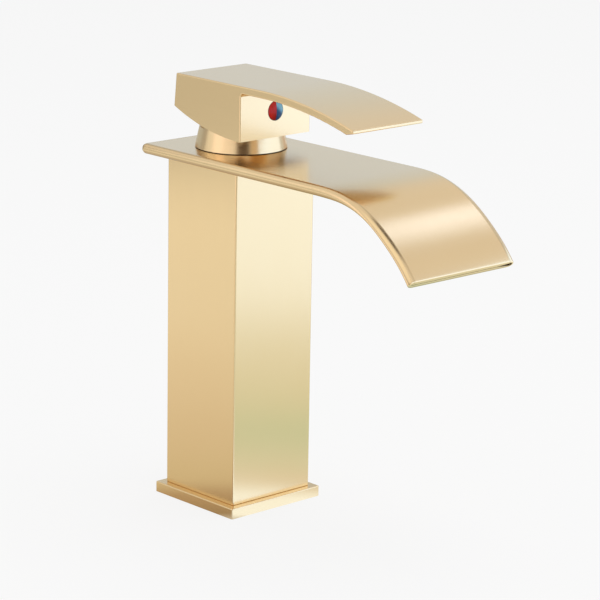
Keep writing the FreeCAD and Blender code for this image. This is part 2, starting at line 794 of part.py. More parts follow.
def make_pivot_pin():
    """Cross pin that the stem tilts about."""
    pin = part_cylinder("pin_radius", "2 * pin_reach")
    pin.Label = "pivot_pin"
    pin.Placement = Placement(Vector(), Rotation(Vector(1, 0, 0), -90))
    bind(pin, "Placement.Base.y", "-pin_reach")
    bind(pin, "Placement.Base.z", "spout_top")
    PIECES.append(pin)


def make_stem():
    """Square stem with a hub about the pin, a round shank and a ball end, leaning forward when closed."""
    body = new_body("stem", "spout_top")
    lean_forward(body)
    square = new_sketch(body, "square_outline", "XY_Plane", "-stem_hub")
    half = "stem_side / 2"
    add_loop(square, box_corners(f"-{half}", half, f"-{half}", half))
    pad(body, "square", square, "stem_length + stem_hub")
    outline = new_sketch(body, "shank_outline", "XZ_Plane")
    rise = "sqrt(ball_radius^2 - shank_radius^2)"
    add_loop(outline, [
        ("0", "-stem_arm - ball_radius", "ball_radius", 1),
        ("ball_radius", "-stem_arm", "ball_radius", 1),
        ("shank_radius", f"-stem_arm + {rise}"),
        ("shank_radius", "0"),
        ("0", "0"),
    ])
    revolve(body, "shank", outline)
    cross_hole(body, "pin_hole", "XZ_Plane", ("0", "0"), "pin_radius + run_gap", "0", "stem_side + 2 * overrun")


def lean_forward(body):
    """Tilt a body about the cross pin by the stem's lean."""
    body.Placement.Rotation = Rotation(Vector(0, 1, 0), value("stem_lean"))
    bind(body, "Placement.Rotation.Angle", "stem_lean * 1 deg")


def make_retaining_nut():
    """Threaded ring on the cartridge's shoulder, with a collar for the bonnet and four spanner notches."""
    body = new_body("retaining_nut")
    outline = new_sketch(body, "turned_outline", "XZ_Plane")
    inside = "neck_outside + slide_gap"
    top = "spout_top + collar_rise"
    add_loop(outline, [
        (inside, "shoulder_top"),
        ("nut_radius", "shoulder_top"),
        ("nut_radius", "spout_top"),
        ("collar_radius", "spout_top"),
        ("collar_radius", top),
        (inside, top),
    ])
    revolve(body, "turned", outline)
    notch = new_sketch(body, "notch_outline", "XY_Plane", top)
    add_loop(notch, box_corners("neck_outside", "collar_radius + overrun", "-notch_width / 2", "notch_width / 2"))
    first = pocket(body, "notch", notch, "notch_depth")
    pattern = body.newObject("PartDesign::PolarPattern", "notches")
    pattern.Originals = [first]
    pattern.Axis = (origin_feature(body, "Z_Axis"), [""])
    pattern.Occurrences = 4
    body.Tip = pattern


def make_bonnet_washer():
    """Thin rubber ring between the bonnet's foot and the spout."""
    body = new_body("bonnet_washer", "spout_top")
    outline = new_sketch(body, "ring_outline", "XY_Plane")
    add_circle(outline, "0", "0", "bonnet_radius - bonnet_wall / 4")
    add_circle(outline, "0", "0", "bonnet_radius - bonnet_wall / 4 - washer_width")
    pad(body, "ring", outline, "washer_height")


def make_bonnet():
    """Tapered round cap, screwed on the nut's collar. Its shoulder is part of a sphere about the tilt axis."""
    body = new_body("bonnet", "spout_top")
    outline = new_sketch(body, "turned_outline", "XZ_Plane")
    inner = "(bonnet_radius - bonnet_wall)"
    skirt = "(collar_radius + thread_gap)"
    add_loop(outline, [
        (skirt, "washer_height"),
        ("bonnet_radius", "washer_height"),
        ("shoulder_radius", "shoulder_rise", "bonnet_swing", 1),
        ("sqrt(bonnet_swing^2 - bonnet_rise^2)", "bonnet_rise"),
        ("bonnet_opening", "bonnet_rise"),
        ("bonnet_opening", f"sqrt({inner}^2 - bonnet_opening^2)", inner, -1),
        (skirt, f"sqrt({inner}^2 - {skirt}^2)"),
    ])
    revolve(body, "turned", outline)


def make_handle():
    """Wedge-shaped block with a long flat lever, hollow below, with a boss for the stem and a rib for its screw."""
    body = new_body("handle", "spout_top")
    side = new_sketch(body, "side_outline", "XZ_Plane")
    tip_z = "lever_centre + sqrt(lever_bend_radius^2 - (lever_tip - lever_bend)^2)"
    bevel_z = "lever_centre + sqrt(lever_under_radius^2 - (bevel_start - lever_bend)^2)"
    add_loop(side, [
        ("-handle_back_bottom", "handle_back_rise", "handle_under_radius", 1),
        ("handle_front", "handle_front_rise"),
        ("handle_front", "roof_rise"),
        ("lever_bend", "roof_rise", "lever_under_radius", -1),
        ("bevel_start", bevel_z),
        ("lever_tip", f"{tip_z} - lever_tip_edge"),
        ("lever_tip", tip_z, "lever_bend_radius", 1),
        ("lever_bend", "handle_top_rise"),
        ("-handle_back_top", "handle_top_rise"),
    ])
    pad(body, "side", side, "handle_width", symmetric=True)
    round_edges(body, "lever_root", "lever_root_fillet", is_lever_root)
    round_edges(body, "outer_edges", "handle_edge", is_sharp_edge)
    hollow_handle(body)
    add_stem_boss(body)
    cross_hole(body, "screw_thread", "YZ_Plane", ("0", "mark_rise"), "screw_radius + press_gap", "plug_floor",
               "plug_floor - mark_rise * tan(stem_lean)", symmetric=False)
    cross_hole(body, "plug_recess", "YZ_Plane", ("0", "mark_rise"), "plug_radius + thread_gap",
               "handle_front + overrun", "overrun + plug_seat", symmetric=False)


def is_lever_root(edge):
    """The inner corner where the block's front meets the lever's underside, in the body's own frame."""
    middle = edge.CenterOfMass
    return near(middle.x, value("handle_front")) and near(middle.z, value("roof_rise"))


def is_sharp_edge(edge):
    """Outer edges of the block and lever, without the smooth ones and the block's two curved lower edges."""
    middle = edge.CenterOfMass
    crosswise = near(middle.y, 0)
    at_bend = near(middle.x, value("lever_bend"))
    at_root = value("handle_front") < middle.x + value("press_gap") < value("lever_bend - press_gap")
    at_front = near(middle.x, value("handle_front")) and middle.z > value("handle_front_rise + press_gap")
    at_bevel = near(middle.x, value("bevel_start"))
    if crosswise:
        return not (at_bend or at_root or at_front or at_bevel)
    return edge.BoundBox.ZMax > value("handle_back_rise + press_gap")


def hollow_handle(body):
    """Open the block from below, leaving its four walls and the roof that runs on as the lever."""
    hollow = new_sketch(body, "hollow_outline", "XZ_Plane")
    inner_front = "handle_front - handle_end_wall"
    add_loop(hollow, [
        ("handle_end_wall - handle_back_bottom", "handle_front_rise - overrun"),
        (inner_front, "handle_front_rise - overrun"),
        (inner_front, "roof_rise"),
        ("handle_end_wall - handle_back_top", "roof_rise"),
    ])
    pocket(body, "hollow", hollow, "handle_width - 2 * handle_side_wall", symmetric=True)


def leaning(across, along):
    """A place in the XZ plane, measured across and along the leaning stem."""
    return (f"({across}) * cos(stem_lean) + ({along}) * sin(stem_lean)",
            f"({along}) * cos(stem_lean) - ({across}) * sin(stem_lean)")


def under_roof(across):
    """Where a line along the leaning stem reaches the middle of the roof."""
    level = "(handle_top_rise - lever_thickness / 2)"
    return (f"({across}) / cos(stem_lean) + {level} * tan(stem_lean)", level)


def add_stem_boss(body):
    """Leaning square boss under the roof, a rib from it to the front wall, and the stem's socket."""
    boss = new_sketch(body, "boss_outline", "XZ_Plane")
    add_loop(boss, [
        leaning("-boss_half", "boss_start"),
        leaning("boss_half", "boss_start"),
        under_roof("boss_half"),
        under_roof("-boss_half"),
    ])
    pad(body, "boss", boss, "2 * boss_half", symmetric=True)
    rib = new_sketch(body, "rib_outline", "XZ_Plane")
    add_loop(rib, box_corners("boss_half", "handle_front - handle_end_wall / 2", "rib_start", "rib_end"))
    pad(body, "rib", rib, "2 * rib_half", symmetric=True)
    socket = new_sketch(body, "socket_outline", "XZ_Plane")
    half = "(stem_side / 2 + run_gap)"
    add_loop(socket, [
        leaning(f"-{half}", "boss_start - overrun"),
        leaning(half, "boss_start - overrun"),
        leaning(half, "stem_length + run_gap"),
        leaning(f"-{half}", "stem_length + run_gap"),
    ])
    pocket(body, "socket", socket, f"2 * {half}", symmetric=True)


def make_set_screw():
    """Grub screw with a cone point on the stem and a hexagon socket at the front."""
    body = new_body("set_screw", "spout_top + mark_rise")
    bind(body, "Placement.Base.x", "screw_start + screw_tip_radius * tan(stem_lean) + press_gap")
    outline = new_sketch(body, "turned_outline", "XZ_Plane")
    add_loop(outline, [
        ("0", "0"),
        ("0", "screw_tip_radius"),
        ("screw_point", "screw_radius"),
        ("screw_length", "screw_radius"),
        ("screw_length", "0"),
    ])
    revolve(body, "turned", outline, "X_Axis")
    key = new_sketch(body, "key_outline", "YZ_Plane", "screw_length")
    corner = "hex_half / cos(30)"
    add_loop(key, [(f"{corner} * cos({60 * i})", f"{corner} * sin({60 * i})") for i in range(6)])
    pocket(body, "key", key, "hex_depth")


def make_indicator_plug():
    """Dark push-in plug in the handle's front, with a spigot behind and a shallow seat for the marks."""
    body = new_body("indicator_plug", "spout_top + mark_rise")
    bind(body, "Placement.Base.x", "plug_floor")
    outline = new_sketch(body, "turned_outline", "XZ_Plane")
    seat = "plug_seat - (mark_height - mark_crown)"
    add_loop(outline, [
        ("-plug_spigot", "0"),
        ("-plug_spigot", "screw_radius - press_gap"),
        ("0", "screw_radius - press_gap"),
        ("0", "plug_radius"),
        ("plug_seat", "plug_radius"),
        ("plug_seat", "mark_radius + press_gap"),
        (seat, "mark_radius + press_gap"),
        (seat, "0"),
    ])
    revolve(body, "turned", outline, "X_Axis")


def make_mark(label, start_angle):
    """Half of a domed round mark: red for hot on the -Y side, blue for cold on the +Y side."""
    body = new_body(label, "spout_top + mark_rise")
    bind(body, "Placement.Base.x", "handle_front - (mark_height - mark_crown)")
    body.Placement.Rotation = Rotation(Vector(1, 0, 0), start_angle)
    outline = new_sketch(body, "half_outline", "XZ_Plane")
    edge = "(mark_height - mark_crown)"
    crown_radius = "(mark_radius^2 + mark_crown^2) / (2 * mark_crown)"
    add_loop(outline, [
        ("0", "0"),
        ("mark_height", "0", crown_radius, 1),
        (edge, "mark_radius"),
        ("0", "mark_radius"),
    ])
    revolve(body, "turned", outline, "X_Axis", "180")


def check_document():
    """Every object of the document is sound, and every piece has a valid shape."""
    for item in doc.Objects:
        if "Invalid" in item.State or "Error" in item.State:
            raise RuntimeError(f"{item.Label} failed: {item.State}")
    for piece in PIECES:
        shape = piece.Shape
        if shape.isNull() or not shape.isValid() or not shape.Solids:
            raise RuntimeError(f"{piece.Label} has no valid solid")


def write_pieces():
    os.makedirs("parts", exist_ok=True)
    for piece in PIECES:
        piece.Shape.exportStep(f"parts/{piece.Label}.step")
        print(f"{piece.Label}: {len(piece.Shape.Solids)} solid(s), {piece.Shape.Volume:.1f} mm3")


fill_sheet()
make_base_plate()
make_base_gasket()
make_column()
make_stud_bridge()
make_valve_block()
make_spout()
make_spout_end_cap()
make_cartridge_base()
make_seals("port_seals", "seat_level")
make_seals("disc_seals", "fixed_bottom - seal_height")
make_fixed_disc()
make_moving_disc()
make_disc_carrier()
make_cartridge_housing()
make_stem_carrier()
make_pivot_pin()
make_stem()
make_retaining_nut()
make_bonnet_washer()
make_bonnet()
make_handle()
make_set_screw()
make_indicator_plug()
make_mark("hot_mark", 0)
make_mark("cold_mark", 180)
doc.recompute()
check_document()
write_pieces()
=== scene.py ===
# %% [markdown]
# A basin tap in satin gold, dressed for its portrait. The CAD frame gives every piece its place and its
# size, and this lesson adds what the CAD leaves out: the camera, the studio that the metal mirrors, and
# the finish of each surface. Metal shows little of its own, so most of the work is in what stands around
# it.

# %% Load the frame
import math

import bmesh
import bpy
import numpy as np
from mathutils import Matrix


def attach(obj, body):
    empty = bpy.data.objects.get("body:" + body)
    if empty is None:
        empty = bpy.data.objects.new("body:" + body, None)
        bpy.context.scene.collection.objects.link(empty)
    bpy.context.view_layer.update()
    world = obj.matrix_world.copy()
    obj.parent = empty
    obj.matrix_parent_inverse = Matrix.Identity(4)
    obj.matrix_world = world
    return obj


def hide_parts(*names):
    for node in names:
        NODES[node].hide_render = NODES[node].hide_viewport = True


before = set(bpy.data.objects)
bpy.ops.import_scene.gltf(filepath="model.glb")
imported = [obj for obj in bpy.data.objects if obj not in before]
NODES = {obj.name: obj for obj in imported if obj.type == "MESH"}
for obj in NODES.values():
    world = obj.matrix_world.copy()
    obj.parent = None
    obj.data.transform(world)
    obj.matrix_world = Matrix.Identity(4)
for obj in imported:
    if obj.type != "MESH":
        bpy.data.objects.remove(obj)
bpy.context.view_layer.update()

MM = 0.001
print("nodes in the frame:", len(NODES))

# %% [markdown]
# The camera comes first, because every later choice is judged through it. It could be set by eye, but its
# place was solved from the straight edges of the tap, which gives a long lens a little over a metre away:
# the edges hardly converge. The lens is written in pixels of the 600 pixel picture and turned into
# millimetres of a 36 mm sensor.

# %% Camera
FOCAL_PIXELS = 2809.85
PICTURE_PIXELS = 600
SENSOR_MM = 36
CAMERA_TURN = math.radians(47.192)
CAMERA_RISE = math.radians(14.458)
CAMERA_ROLL = math.radians(0.964)
CAMERA_DISTANCE = 1255.96 * MM
AIM_ACROSS = 26.551 * MM
AIM_UP = 86.776 * MM


def compass(turn, rise):
    """The direction that is turned from +X towards +Y, and raised above the table, both in radians."""
    return np.array([math.cos(turn) * math.cos(rise), math.sin(turn) * math.cos(rise), math.sin(rise)])


def place_camera():
    """The lens sits back by its distance, moved across and up so that the aim is the picture's middle."""
    back = compass(CAMERA_TURN - math.pi / 2, CAMERA_RISE)
    right = compass(CAMERA_TURN, 0)
    up = np.cross(back, right)
    matrix = np.identity(4)
    matrix[:3, 0] = right * math.cos(CAMERA_ROLL) + up * math.sin(CAMERA_ROLL)
    matrix[:3, 1] = up * math.cos(CAMERA_ROLL) - right * math.sin(CAMERA_ROLL)
    matrix[:3, 2] = back
    matrix[:3, 3] = right * AIM_ACROSS + up * AIM_UP + back * CAMERA_DISTANCE
    lens = bpy.data.cameras.new("camera")
    lens.sensor_width = SENSOR_MM
    lens.lens = FOCAL_PIXELS / PICTURE_PIXELS * SENSOR_MM
    camera = bpy.data.objects.new("camera", lens)
    bpy.context.scene.collection.objects.link(camera)
    camera.matrix_world = matrix.T.tolist()
    bpy.context.scene.camera = camera
    return camera


camera = place_camera()
bpy.context.scene.view_settings.view_transform = "Standard"
print("camera at", [round(x, 3) for x in camera.matrix_world.translation])

# %% [markdown]
# Node materials are trees of small boxes joined by wires. Making them by hand in Python is wordy, so one
# helper adds a box, sets its numbers and joins its wires. The others are the few boxes that come up again
# and again: a blend of two colours, a value spread over a range, a ramp of colours, a reach along a
# direction.

# %% Node helpers
def feed(tree, socket, value):
    """Join a wire to a socket, or set its number."""
    if isinstance(value, bpy.types.NodeSocket):
        tree.links.new(value, socket)
    else:
        socket.default_value = value


def add_node(tree, kind, inputs=None, **settings):
    """One node: settings are its own options, inputs are numbers or the sockets that feed it."""
    made = tree.nodes.new(kind)
    for name, value in settings.items():
        setattr(made, name, value)
    for name, value in (inputs or {}).items():
        feed(tree, made.inputs[name], value)
    return made


def blend_colours(tree, share, first, second):
    """first where share is 0 and second where it is 1. A Mix node keeps its colour sockets under ids."""
    mix = add_node(tree, "ShaderNodeMix", data_type="RGBA")
    sockets = {socket.identifier: socket for socket in mix.inputs}
    for name, value in (("Factor_Float", share), ("A_Color", first), ("B_Color", second)):
        feed(tree, sockets[name], value)
    return next(socket for socket in mix.outputs if socket.identifier == "Result_Color")


def spread(tree, value, start, end, low=0.0, high=1.0, kind="SMOOTHSTEP"):
    """value from start to end, turned into low to high: eased at both ends, or straight if LINEAR."""
    inputs = {"Value": value, "From Min": start, "From Max": end, "To Min": low, "To Max": high}
    return add_node(tree, "ShaderNodeMapRange", inputs, interpolation_type=kind).outputs["Result"]


def reach(tree, place, way):
    """How far a place lies along a way: the dot product of the two."""
    inputs = {0: place, 1: tuple(way)}
    return add_node(tree, "ShaderNodeVectorMath", inputs, operation="DOT_PRODUCT").outputs["Value"]


def colour_ramp(tree, value, stops):
    """A ramp of (place, colour) stops over value from 0 to 1."""
    ramp = add_node(tree, "ShaderNodeValToRGB", {"Fac": value})
    ramp.color_ramp.interpolation = "EASE"
    elements = ramp.color_ramp.elements
    for place, colour in stops[2:]:
        elements.new(place)
    for element, (place, colour) in zip(elements, stops):
        element.position, element.color = place, colour
    return ramp.outputs["Color"]


def object_place(tree):
    """Where a point lies on its own piece, in metres. Every piece has its origin where the tap has."""
    return add_node(tree, "ShaderNodeTexCoord").outputs["Object"]


def empty_tree(owner):
    """The owner's node tree with nothing in it."""
    owner.use_nodes = True
    owner.node_tree.nodes.clear()
    return owner.node_tree


def blank_material(name):
    """A new material and its empty node tree."""
    material = bpy.data.materials.new(name)
    return material, empty_tree(material)


def opaque(red, green, blue):
    """A colour with full opacity."""
    return (red, green, blue, 1.0)


def shades(*rows):
    """Stops for a ramp, from rows of place, red, green and blue."""
    return tuple((place, opaque(*colour)) for place, *colour in rows)


# %% [markdown]
# The studio is a pale table in a grey room. A camera ray that misses the tap finds plain white. A ray
# that bounces off metal finds the room: dim at the sides, lighter behind the tap and lightest overhead,
# with a bright glow high on the lens's side and a small dark gap high at the right, which the spout's
# rims mirror as a fine line. A picture of a studio could be wrapped round the scene, but a few blends are
# easier to tune. A matt surface is lit by an even sky and one lamp, so that a colour renders about as it
# is written.

# %% The room
BACKDROP = opaque(0.947, 0.947, 0.947)
ROOM_DIM, ROOM_BACK = opaque(0.40, 0.39, 0.38), opaque(0.685, 0.78, 0.90)
ROOM_TOP, ROOM_SKY = opaque(0.82, 0.80, 0.79), opaque(0.62, 0.62, 0.62)
ROOM_LIGHT_SIDE = compass(math.radians(135), 0)
SIDE_STARTS, SIDE_FULL = 0.3, 0.92
TOP_STARTS, TOP_FULL = 0.40, 0.58
GLOW, GLOW_WAY = opaque(1.08, 1.05, 0.98), compass(math.radians(-30), math.radians(66))
GLOW_STARTS, GLOW_FULL = 0.85, 0.95
GAP, GAP_WAY = opaque(0.03, 0.015, 0.005), compass(math.radians(70), math.radians(61))
GAP_STARTS, GAP_FULL = 0.974, 0.994
ROOM_SPOTS = ((GLOW_WAY, GLOW_STARTS, GLOW_FULL, GLOW), (GAP_WAY, GAP_STARTS, GAP_FULL, GAP))


def seen_by(tree):
    """Two switches: 1 for rays from the lens or through glass, and 1 for rays that bounce off gloss."""
    path = add_node(tree, "ShaderNodeLightPath").outputs
    looks = add_node(tree, "ShaderNodeMath", {0: path["Is Camera Ray"], 1: path["Is Transmission Ray"]},
                     operation="MAXIMUM").outputs["Value"]
    return looks, path["Is Glossy Ray"]


def build_room():
    """World = backdrop for the lens, walls, top and spots for mirror rays, an even sky for the rest."""
    world = bpy.data.worlds.new("room")
    bpy.context.scene.world = world
    tree = empty_tree(world)
    direction = add_node(tree, "ShaderNodeTexCoord").outputs["Generated"]
    height = add_node(tree, "ShaderNodeSeparateXYZ", {"Vector": direction}).outputs["Z"]
    behind = spread(tree, reach(tree, direction, ROOM_LIGHT_SIDE), SIDE_STARTS, SIDE_FULL)
    walls = blend_colours(tree, behind, ROOM_DIM, ROOM_BACK)
    room = blend_colours(tree, spread(tree, height, TOP_STARTS, TOP_FULL), walls, ROOM_TOP)
    for way, starts, full, colour in ROOM_SPOTS:
        near = spread(tree, reach(tree, direction, way), starts, full)
        room = blend_colours(tree, near, room, colour)
    looks, mirrors = seen_by(tree)
    colour = blend_colours(tree, mirrors, ROOM_SKY, room)
    colour = blend_colours(tree, looks, colour, BACKDROP)
    shader = add_node(tree, "ShaderNodeBackground", {"Color": colour})
    add_node(tree, "ShaderNodeOutputWorld", {"Surface": shader.outputs["Background"]})


build_room()
print("room built with", len(ROOM_SPOTS), "spots overhead")

# %% [markdown]
# The table is one large plane. A white floor under strong lamps would wash out the metal, so to the lens it
# simply has the backdrop's white, less the tap's soft shadow, which comes from a thin share of real matt
# paint in it. To the metal it shows painted light and shade, as a table in a lit studio would, from left to
# right: pale, a painted shadow deep towards the tap's foot, a painted bright band close to its right, dimmer
# a hand's width further out, and pale again.

# %% The table
TABLE_HALF, TABLE_REACH = 6.0, 1.0
TABLE_CORNERS = ((-1, -1), (1, -1), (1, 1), (-1, 1))
TABLE_PAINT, TABLE_WHITE = opaque(0.10, 0.10, 0.10), opaque(0.85, 0.85, 0.85)
TABLE_UNLIT = opaque(0, 0, 0)
TABLE_ACROSS = compass(math.radians(44), 0)
# Painted light and shade for mirror rays: a painted shadow by the tap's foot (0.486 to 0.498) and a painted
# bright band just to its right (0.503 to 0.515).
TABLE_PAINTED_SHEEN = shades(
    (0.000, 0.46, 0.48, 0.45),
    (0.320, 0.48, 0.50, 0.46),
    (0.350, 0.80, 0.78, 0.72),
    (0.390, 0.75, 0.71, 0.64),
    (0.440, 0.68, 0.625, 0.53),
    (0.475, 0.63, 0.58, 0.45),
    (0.486, 0.42, 0.32, 0.215),
    (0.498, 0.32, 0.25, 0.16),
    (0.503, 1.06, 1.28, 1.66),
    (0.515, 1.06, 1.28, 1.66),
    (0.526, 0.77, 0.79, 0.80),
    (0.540, 0.68, 0.78, 0.76),
    (0.565, 0.52, 0.71, 0.63),
    (0.590, 0.69, 0.75, 0.67),
    (0.620, 0.74, 0.80, 0.76),
    (0.800, 0.90, 0.97, 1.02),
)


def stage_plane(name, corners, material):
    """A flat card through four corners, marked as part of the stage."""
    mesh = bpy.data.meshes.new(name)
    mesh.from_pydata([tuple(corner) for corner in corners], [], [(0, 1, 2, 3)])
    mesh.materials.append(material)
    plane = bpy.data.objects.new(name, mesh)
    bpy.context.scene.collection.objects.link(plane)
    return plane


def table_material():
    """Matt paint that takes the real shadow, plus a glow: plain white to the lens, painted light and shade to
    mirror rays.
    """
    material, tree = blank_material("table")
    across = reach(tree, object_place(tree), TABLE_ACROSS)
    share = spread(tree, across, -TABLE_REACH, TABLE_REACH, kind="LINEAR")
    sheen = colour_ramp(tree, share, TABLE_PAINTED_SHEEN)
    looks, mirrors = seen_by(tree)
    glow = blend_colours(tree, looks, blend_colours(tree, mirrors, TABLE_UNLIT, sheen), TABLE_WHITE)
    paint = add_node(tree, "ShaderNodeBsdfDiffuse", {"Color": TABLE_PAINT}).outputs["BSDF"]
    light = add_node(tree, "ShaderNodeEmission", {"Color": glow}).outputs["Emission"]
    both = add_node(tree, "ShaderNodeAddShader", {0: paint, 1: light}).outputs["Shader"]
    add_node(tree, "ShaderNodeOutputMaterial", {"Surface": both})
    return material


stage_plane("table", [(x * TABLE_HALF, y * TABLE_HALF, 0) for x, y in TABLE_CORNERS], table_material())
print("table", TABLE_HALF * 2, "m wide")

# %% [markdown]
# A product photograph of metal is mostly a photograph of cards: sheets of white, dark or tinted board
# that the metal mirrors. Lamps could do the same, but a card has a clean edge and can change colour with
# height. Each one here is an upright plane that glows, and only mirror rays see it, so it lights neither
# the table nor the matt pieces.

# %% Card maker
def card_colour(tree, stops):
    """A card's height and its colour there, from stops of (height, colour) eased into each other."""
    height = add_node(tree, "ShaderNodeSeparateXYZ", {"Vector": object_place(tree)}).outputs["Z"]
    low, high = stops[0][0], stops[-1][0]
    share = spread(tree, height, low, high, kind="LINEAR")
    ramp = [((level - low) / (high - low), colour) for level, colour in stops]
    return height, colour_ramp(tree, share, ramp)


def card(name, turn, distance, width, stops, lean=0.0, fade=0.0):
    """An upright card that faces the tap: turn and distance give its foot, the stops its colours from foot to
    top. A lean moves its top edge away from the tap by that much, or towards it if negative, and a fade thins
    that share of its height at each end."""
    low, high = stops[0][0], stops[-1][0]
    toward = compass(math.radians(turn), 0)
    along = np.array([-toward[1], toward[0], 0]) * width / 2
    foot = toward * distance + np.array([0, 0, low])
    top = toward * (distance + lean) + np.array([0, 0, high])
    material, tree = blank_material(name)
    height, colour = card_colour(tree, stops)
    glow = add_node(tree, "ShaderNodeEmission", {"Color": colour}).outputs["Emission"]
    if fade:
        run = (high - low) * fade
        ends = {0: spread(tree, height, low, low + run), 1: spread(tree, height, high, high - run)}
        body = add_node(tree, "ShaderNodeMath", ends, operation="MULTIPLY").outputs["Value"]
        clear = add_node(tree, "ShaderNodeBsdfTransparent").outputs["BSDF"]
        glow = add_node(tree, "ShaderNodeMixShader", {0: body, 1: clear, 2: glow}).outputs["Shader"]
    add_node(tree, "ShaderNodeOutputMaterial", {"Surface": glow})
    plane = stage_plane(name, [foot + along, foot - along, top - along, top + along], material)
    plane.visible_camera = plane.visible_diffuse = plane.visible_shadow = False
    plane.visible_transmission = plane.visible_volume_scatter = False


# %% [markdown]
# At the tap's left stand a panel, a wall and two small cards, one for the plate's rim and one for the
# bonnet. A cool wall stands at the right with a warm card on each side of it, and a low warm card stands
# behind. Dark flags give the metal its shadows: one round the lens, two at the back on the left. A strip
# leans over the tap from high at the back, and its streak runs across the bend of the spout.

# %% Cards
def plain(low, high, *colour):
    """The stops of a card that has one colour from foot to top."""
    return shades((low, *colour), (high, *colour))


LEFT_WALL = shades((0.000, 0.93, 0.93, 0.89), (0.045, 0.93, 0.93, 0.89), (0.055, 0.99, 0.99, 0.95),
                   (0.080, 0.99, 0.99, 0.95), (0.100, 0.62, 0.62, 0.59), (0.155, 0.62, 0.62, 0.59),
                   (0.165, 0.60, 0.60, 0.58))
RIM_CARD = shades((0.166, 0.70, 0.69, 0.68), (0.186, 0.95, 0.94, 0.93), (0.300, 1.04, 1.04, 1.04),
                  (0.420, 0.80, 0.80, 0.80))
RIGHT_WALL = shades((0.000, 1.13, 1.34, 1.70), (0.070, 1.13, 1.34, 1.70), (0.105, 1.22, 1.46, 1.95),
                    (0.205, 1.22, 1.44, 1.85), (0.220, 1.18, 1.56, 2.30), (0.245, 1.18, 1.56, 2.30),
                    (0.280, 1.05, 1.20, 1.50))
CARDS = (  # name, turn in degrees, distance, width, and stops or foot, top and colour
    ("left_panel", -86, 0.55, 0.72, plain(0.0, 0.33, 1.12, 1.04, 1.02)),
    ("left_wall", -136, 0.30, 0.21, LEFT_WALL),
    ("rim_card", -129.5, 0.30, 0.13, RIM_CARD),
    ("bonnet_card", -101, 0.28, 0.13, plain(0.14, 0.42, 1.25, 1.15, 1.15)),
    ("bonnet_flag", 178, 0.60, 0.30, plain(0.20, 0.50, 0.34, 0.27, 0.18)),
    ("right_wall", 38, 0.34, 0.49, RIGHT_WALL),
    ("side_warm_card", 100, 0.60, 0.20, plain(0.0, 0.30, 0.64, 0.53, 0.48)),
    ("front_warm_card", -9, 0.50, 0.16, plain(0.0, 0.30, 0.74, 0.58, 0.40)),
    ("lens_flag", -38, 0.80, 0.44, plain(0.0, 0.56, 0.09, 0.06, 0.04)),
    ("rear_card", 126, 0.36, 0.26, plain(0.0, 0.11, 0.40, 0.31, 0.17)),
    ("back_flag", 164, 0.90, 0.42, plain(0.68, 1.20, 0.52, 0.50, 0.47)),
)
BACK_STRIP = ("back_strip", 81.2, 1.05, 0.22, plain(0.94, 1.195, 1.75, 2.05, 2.9))
STRIP_LEAN, STRIP_FADE = -0.255, 0.5
for values in CARDS:
    card(*values)
card(*BACK_STRIP, STRIP_LEAN, STRIP_FADE)
print(len(CARDS), "cards and a strip set")

# %% [markdown]
# One wide lamp hangs overhead, as a softbox hangs over a product table. A small lamp or a sun would cast
# a hard shadow, so this one is more than a metre wide. It is for the matt pieces and for the shadow on
# the table, and mirror rays skip it.

# %% Lamp
LAMP_SIZE = 1.2
LAMP_HEIGHT = 1.6
LAMP_POWER = 12.0
LAMP_SIDE = (0.25, 0.35)


def hang_lamp():
    """A square area lamp that points straight down."""
    light = bpy.data.lights.new("lamp", "AREA")
    light.size = LAMP_SIZE
    light.energy = LAMP_POWER
    lamp = bpy.data.objects.new("lamp", light)
    lamp.location = (*LAMP_SIDE, LAMP_HEIGHT)
    lamp.visible_glossy = False
    lamp.visible_camera = False
    bpy.context.scene.collection.objects.link(lamp)


hang_lamp()
print("lamp hung at", LAMP_HEIGHT, "m")

# %% [markdown]
# The satin gold is a plated brass, rubbed with a fine abrasive until its mirror breaks into a soft sheen. Up
# close there are hair-fine strokes along each piece, and each stroke changes the gloss more than the colour.
# A picture of brushed metal would repeat and smear round the edges, so the strokes are noise stretched along
# one axis. The spout's rims carry a map of their own, and from it painted shade darkens the plating: a fine
# dark line in the crease above them and a darker lower side.

# %% Satin gold
GOLD, GOLD_DEEP = opaque(0.88, 0.67, 0.388), opaque(0.86, 0.645, 0.362)
GOLD_ROUGH, GOLD_ROUGH_SWING = 0.235, 0.05
STROKE_FINE, STROKE_LONG = 2600.0, 60.0
STROKE_DEPTH = 0.004 * MM
PATCH_SCALE = 22.0
# The rim colours are painted shade: a dark line in the crease above the rim and a darker lower side.
RIM_PAINTED_SHADE = opaque(0.10, 0.055, 0.02)
RIM_PAINTED_SHADES = ((0.0, 1.0), (0.003, 0.86), (0.014, 0.82), (0.034, 0.95), (0.06, 1.0), (0.50, 1.0),
              (0.58, 0.88), (0.68, 0.70), (0.82, 0.62), (0.92, 0.5), (0.97, 1.0))
STROKES = {"x": (STROKE_LONG, STROKE_FINE, STROKE_FINE), "y": (STROKE_FINE, STROKE_LONG, STROKE_FINE),
           "z": (STROKE_FINE, STROKE_FINE, STROKE_LONG), "round": (STROKE_LONG, STROKE_LONG, STROKE_FINE)}


def principled(tree, inputs):
    """The one shader that every finish of the tap ends in."""
    shader = add_node(tree, "ShaderNodeBsdfPrincipled", inputs)
    add_node(tree, "ShaderNodeOutputMaterial", {"Surface": shader.outputs["BSDF"]})


def noise(tree, place, scale, detail=2.0):
    """Soft random grey from 0 to 1 over the place given."""
    inputs = {"Vector": place, "Scale": scale, "Detail": detail}
    return add_node(tree, "ShaderNodeTexNoise", inputs).outputs["Fac"]


def raised(tree, height, depth):
    """The normals of a surface that the height, from 0 to 1, raises by up to the depth."""
    inputs = {"Height": height, "Strength": 1.0, "Distance": depth}
    return add_node(tree, "ShaderNodeBump", inputs).outputs["Normal"]


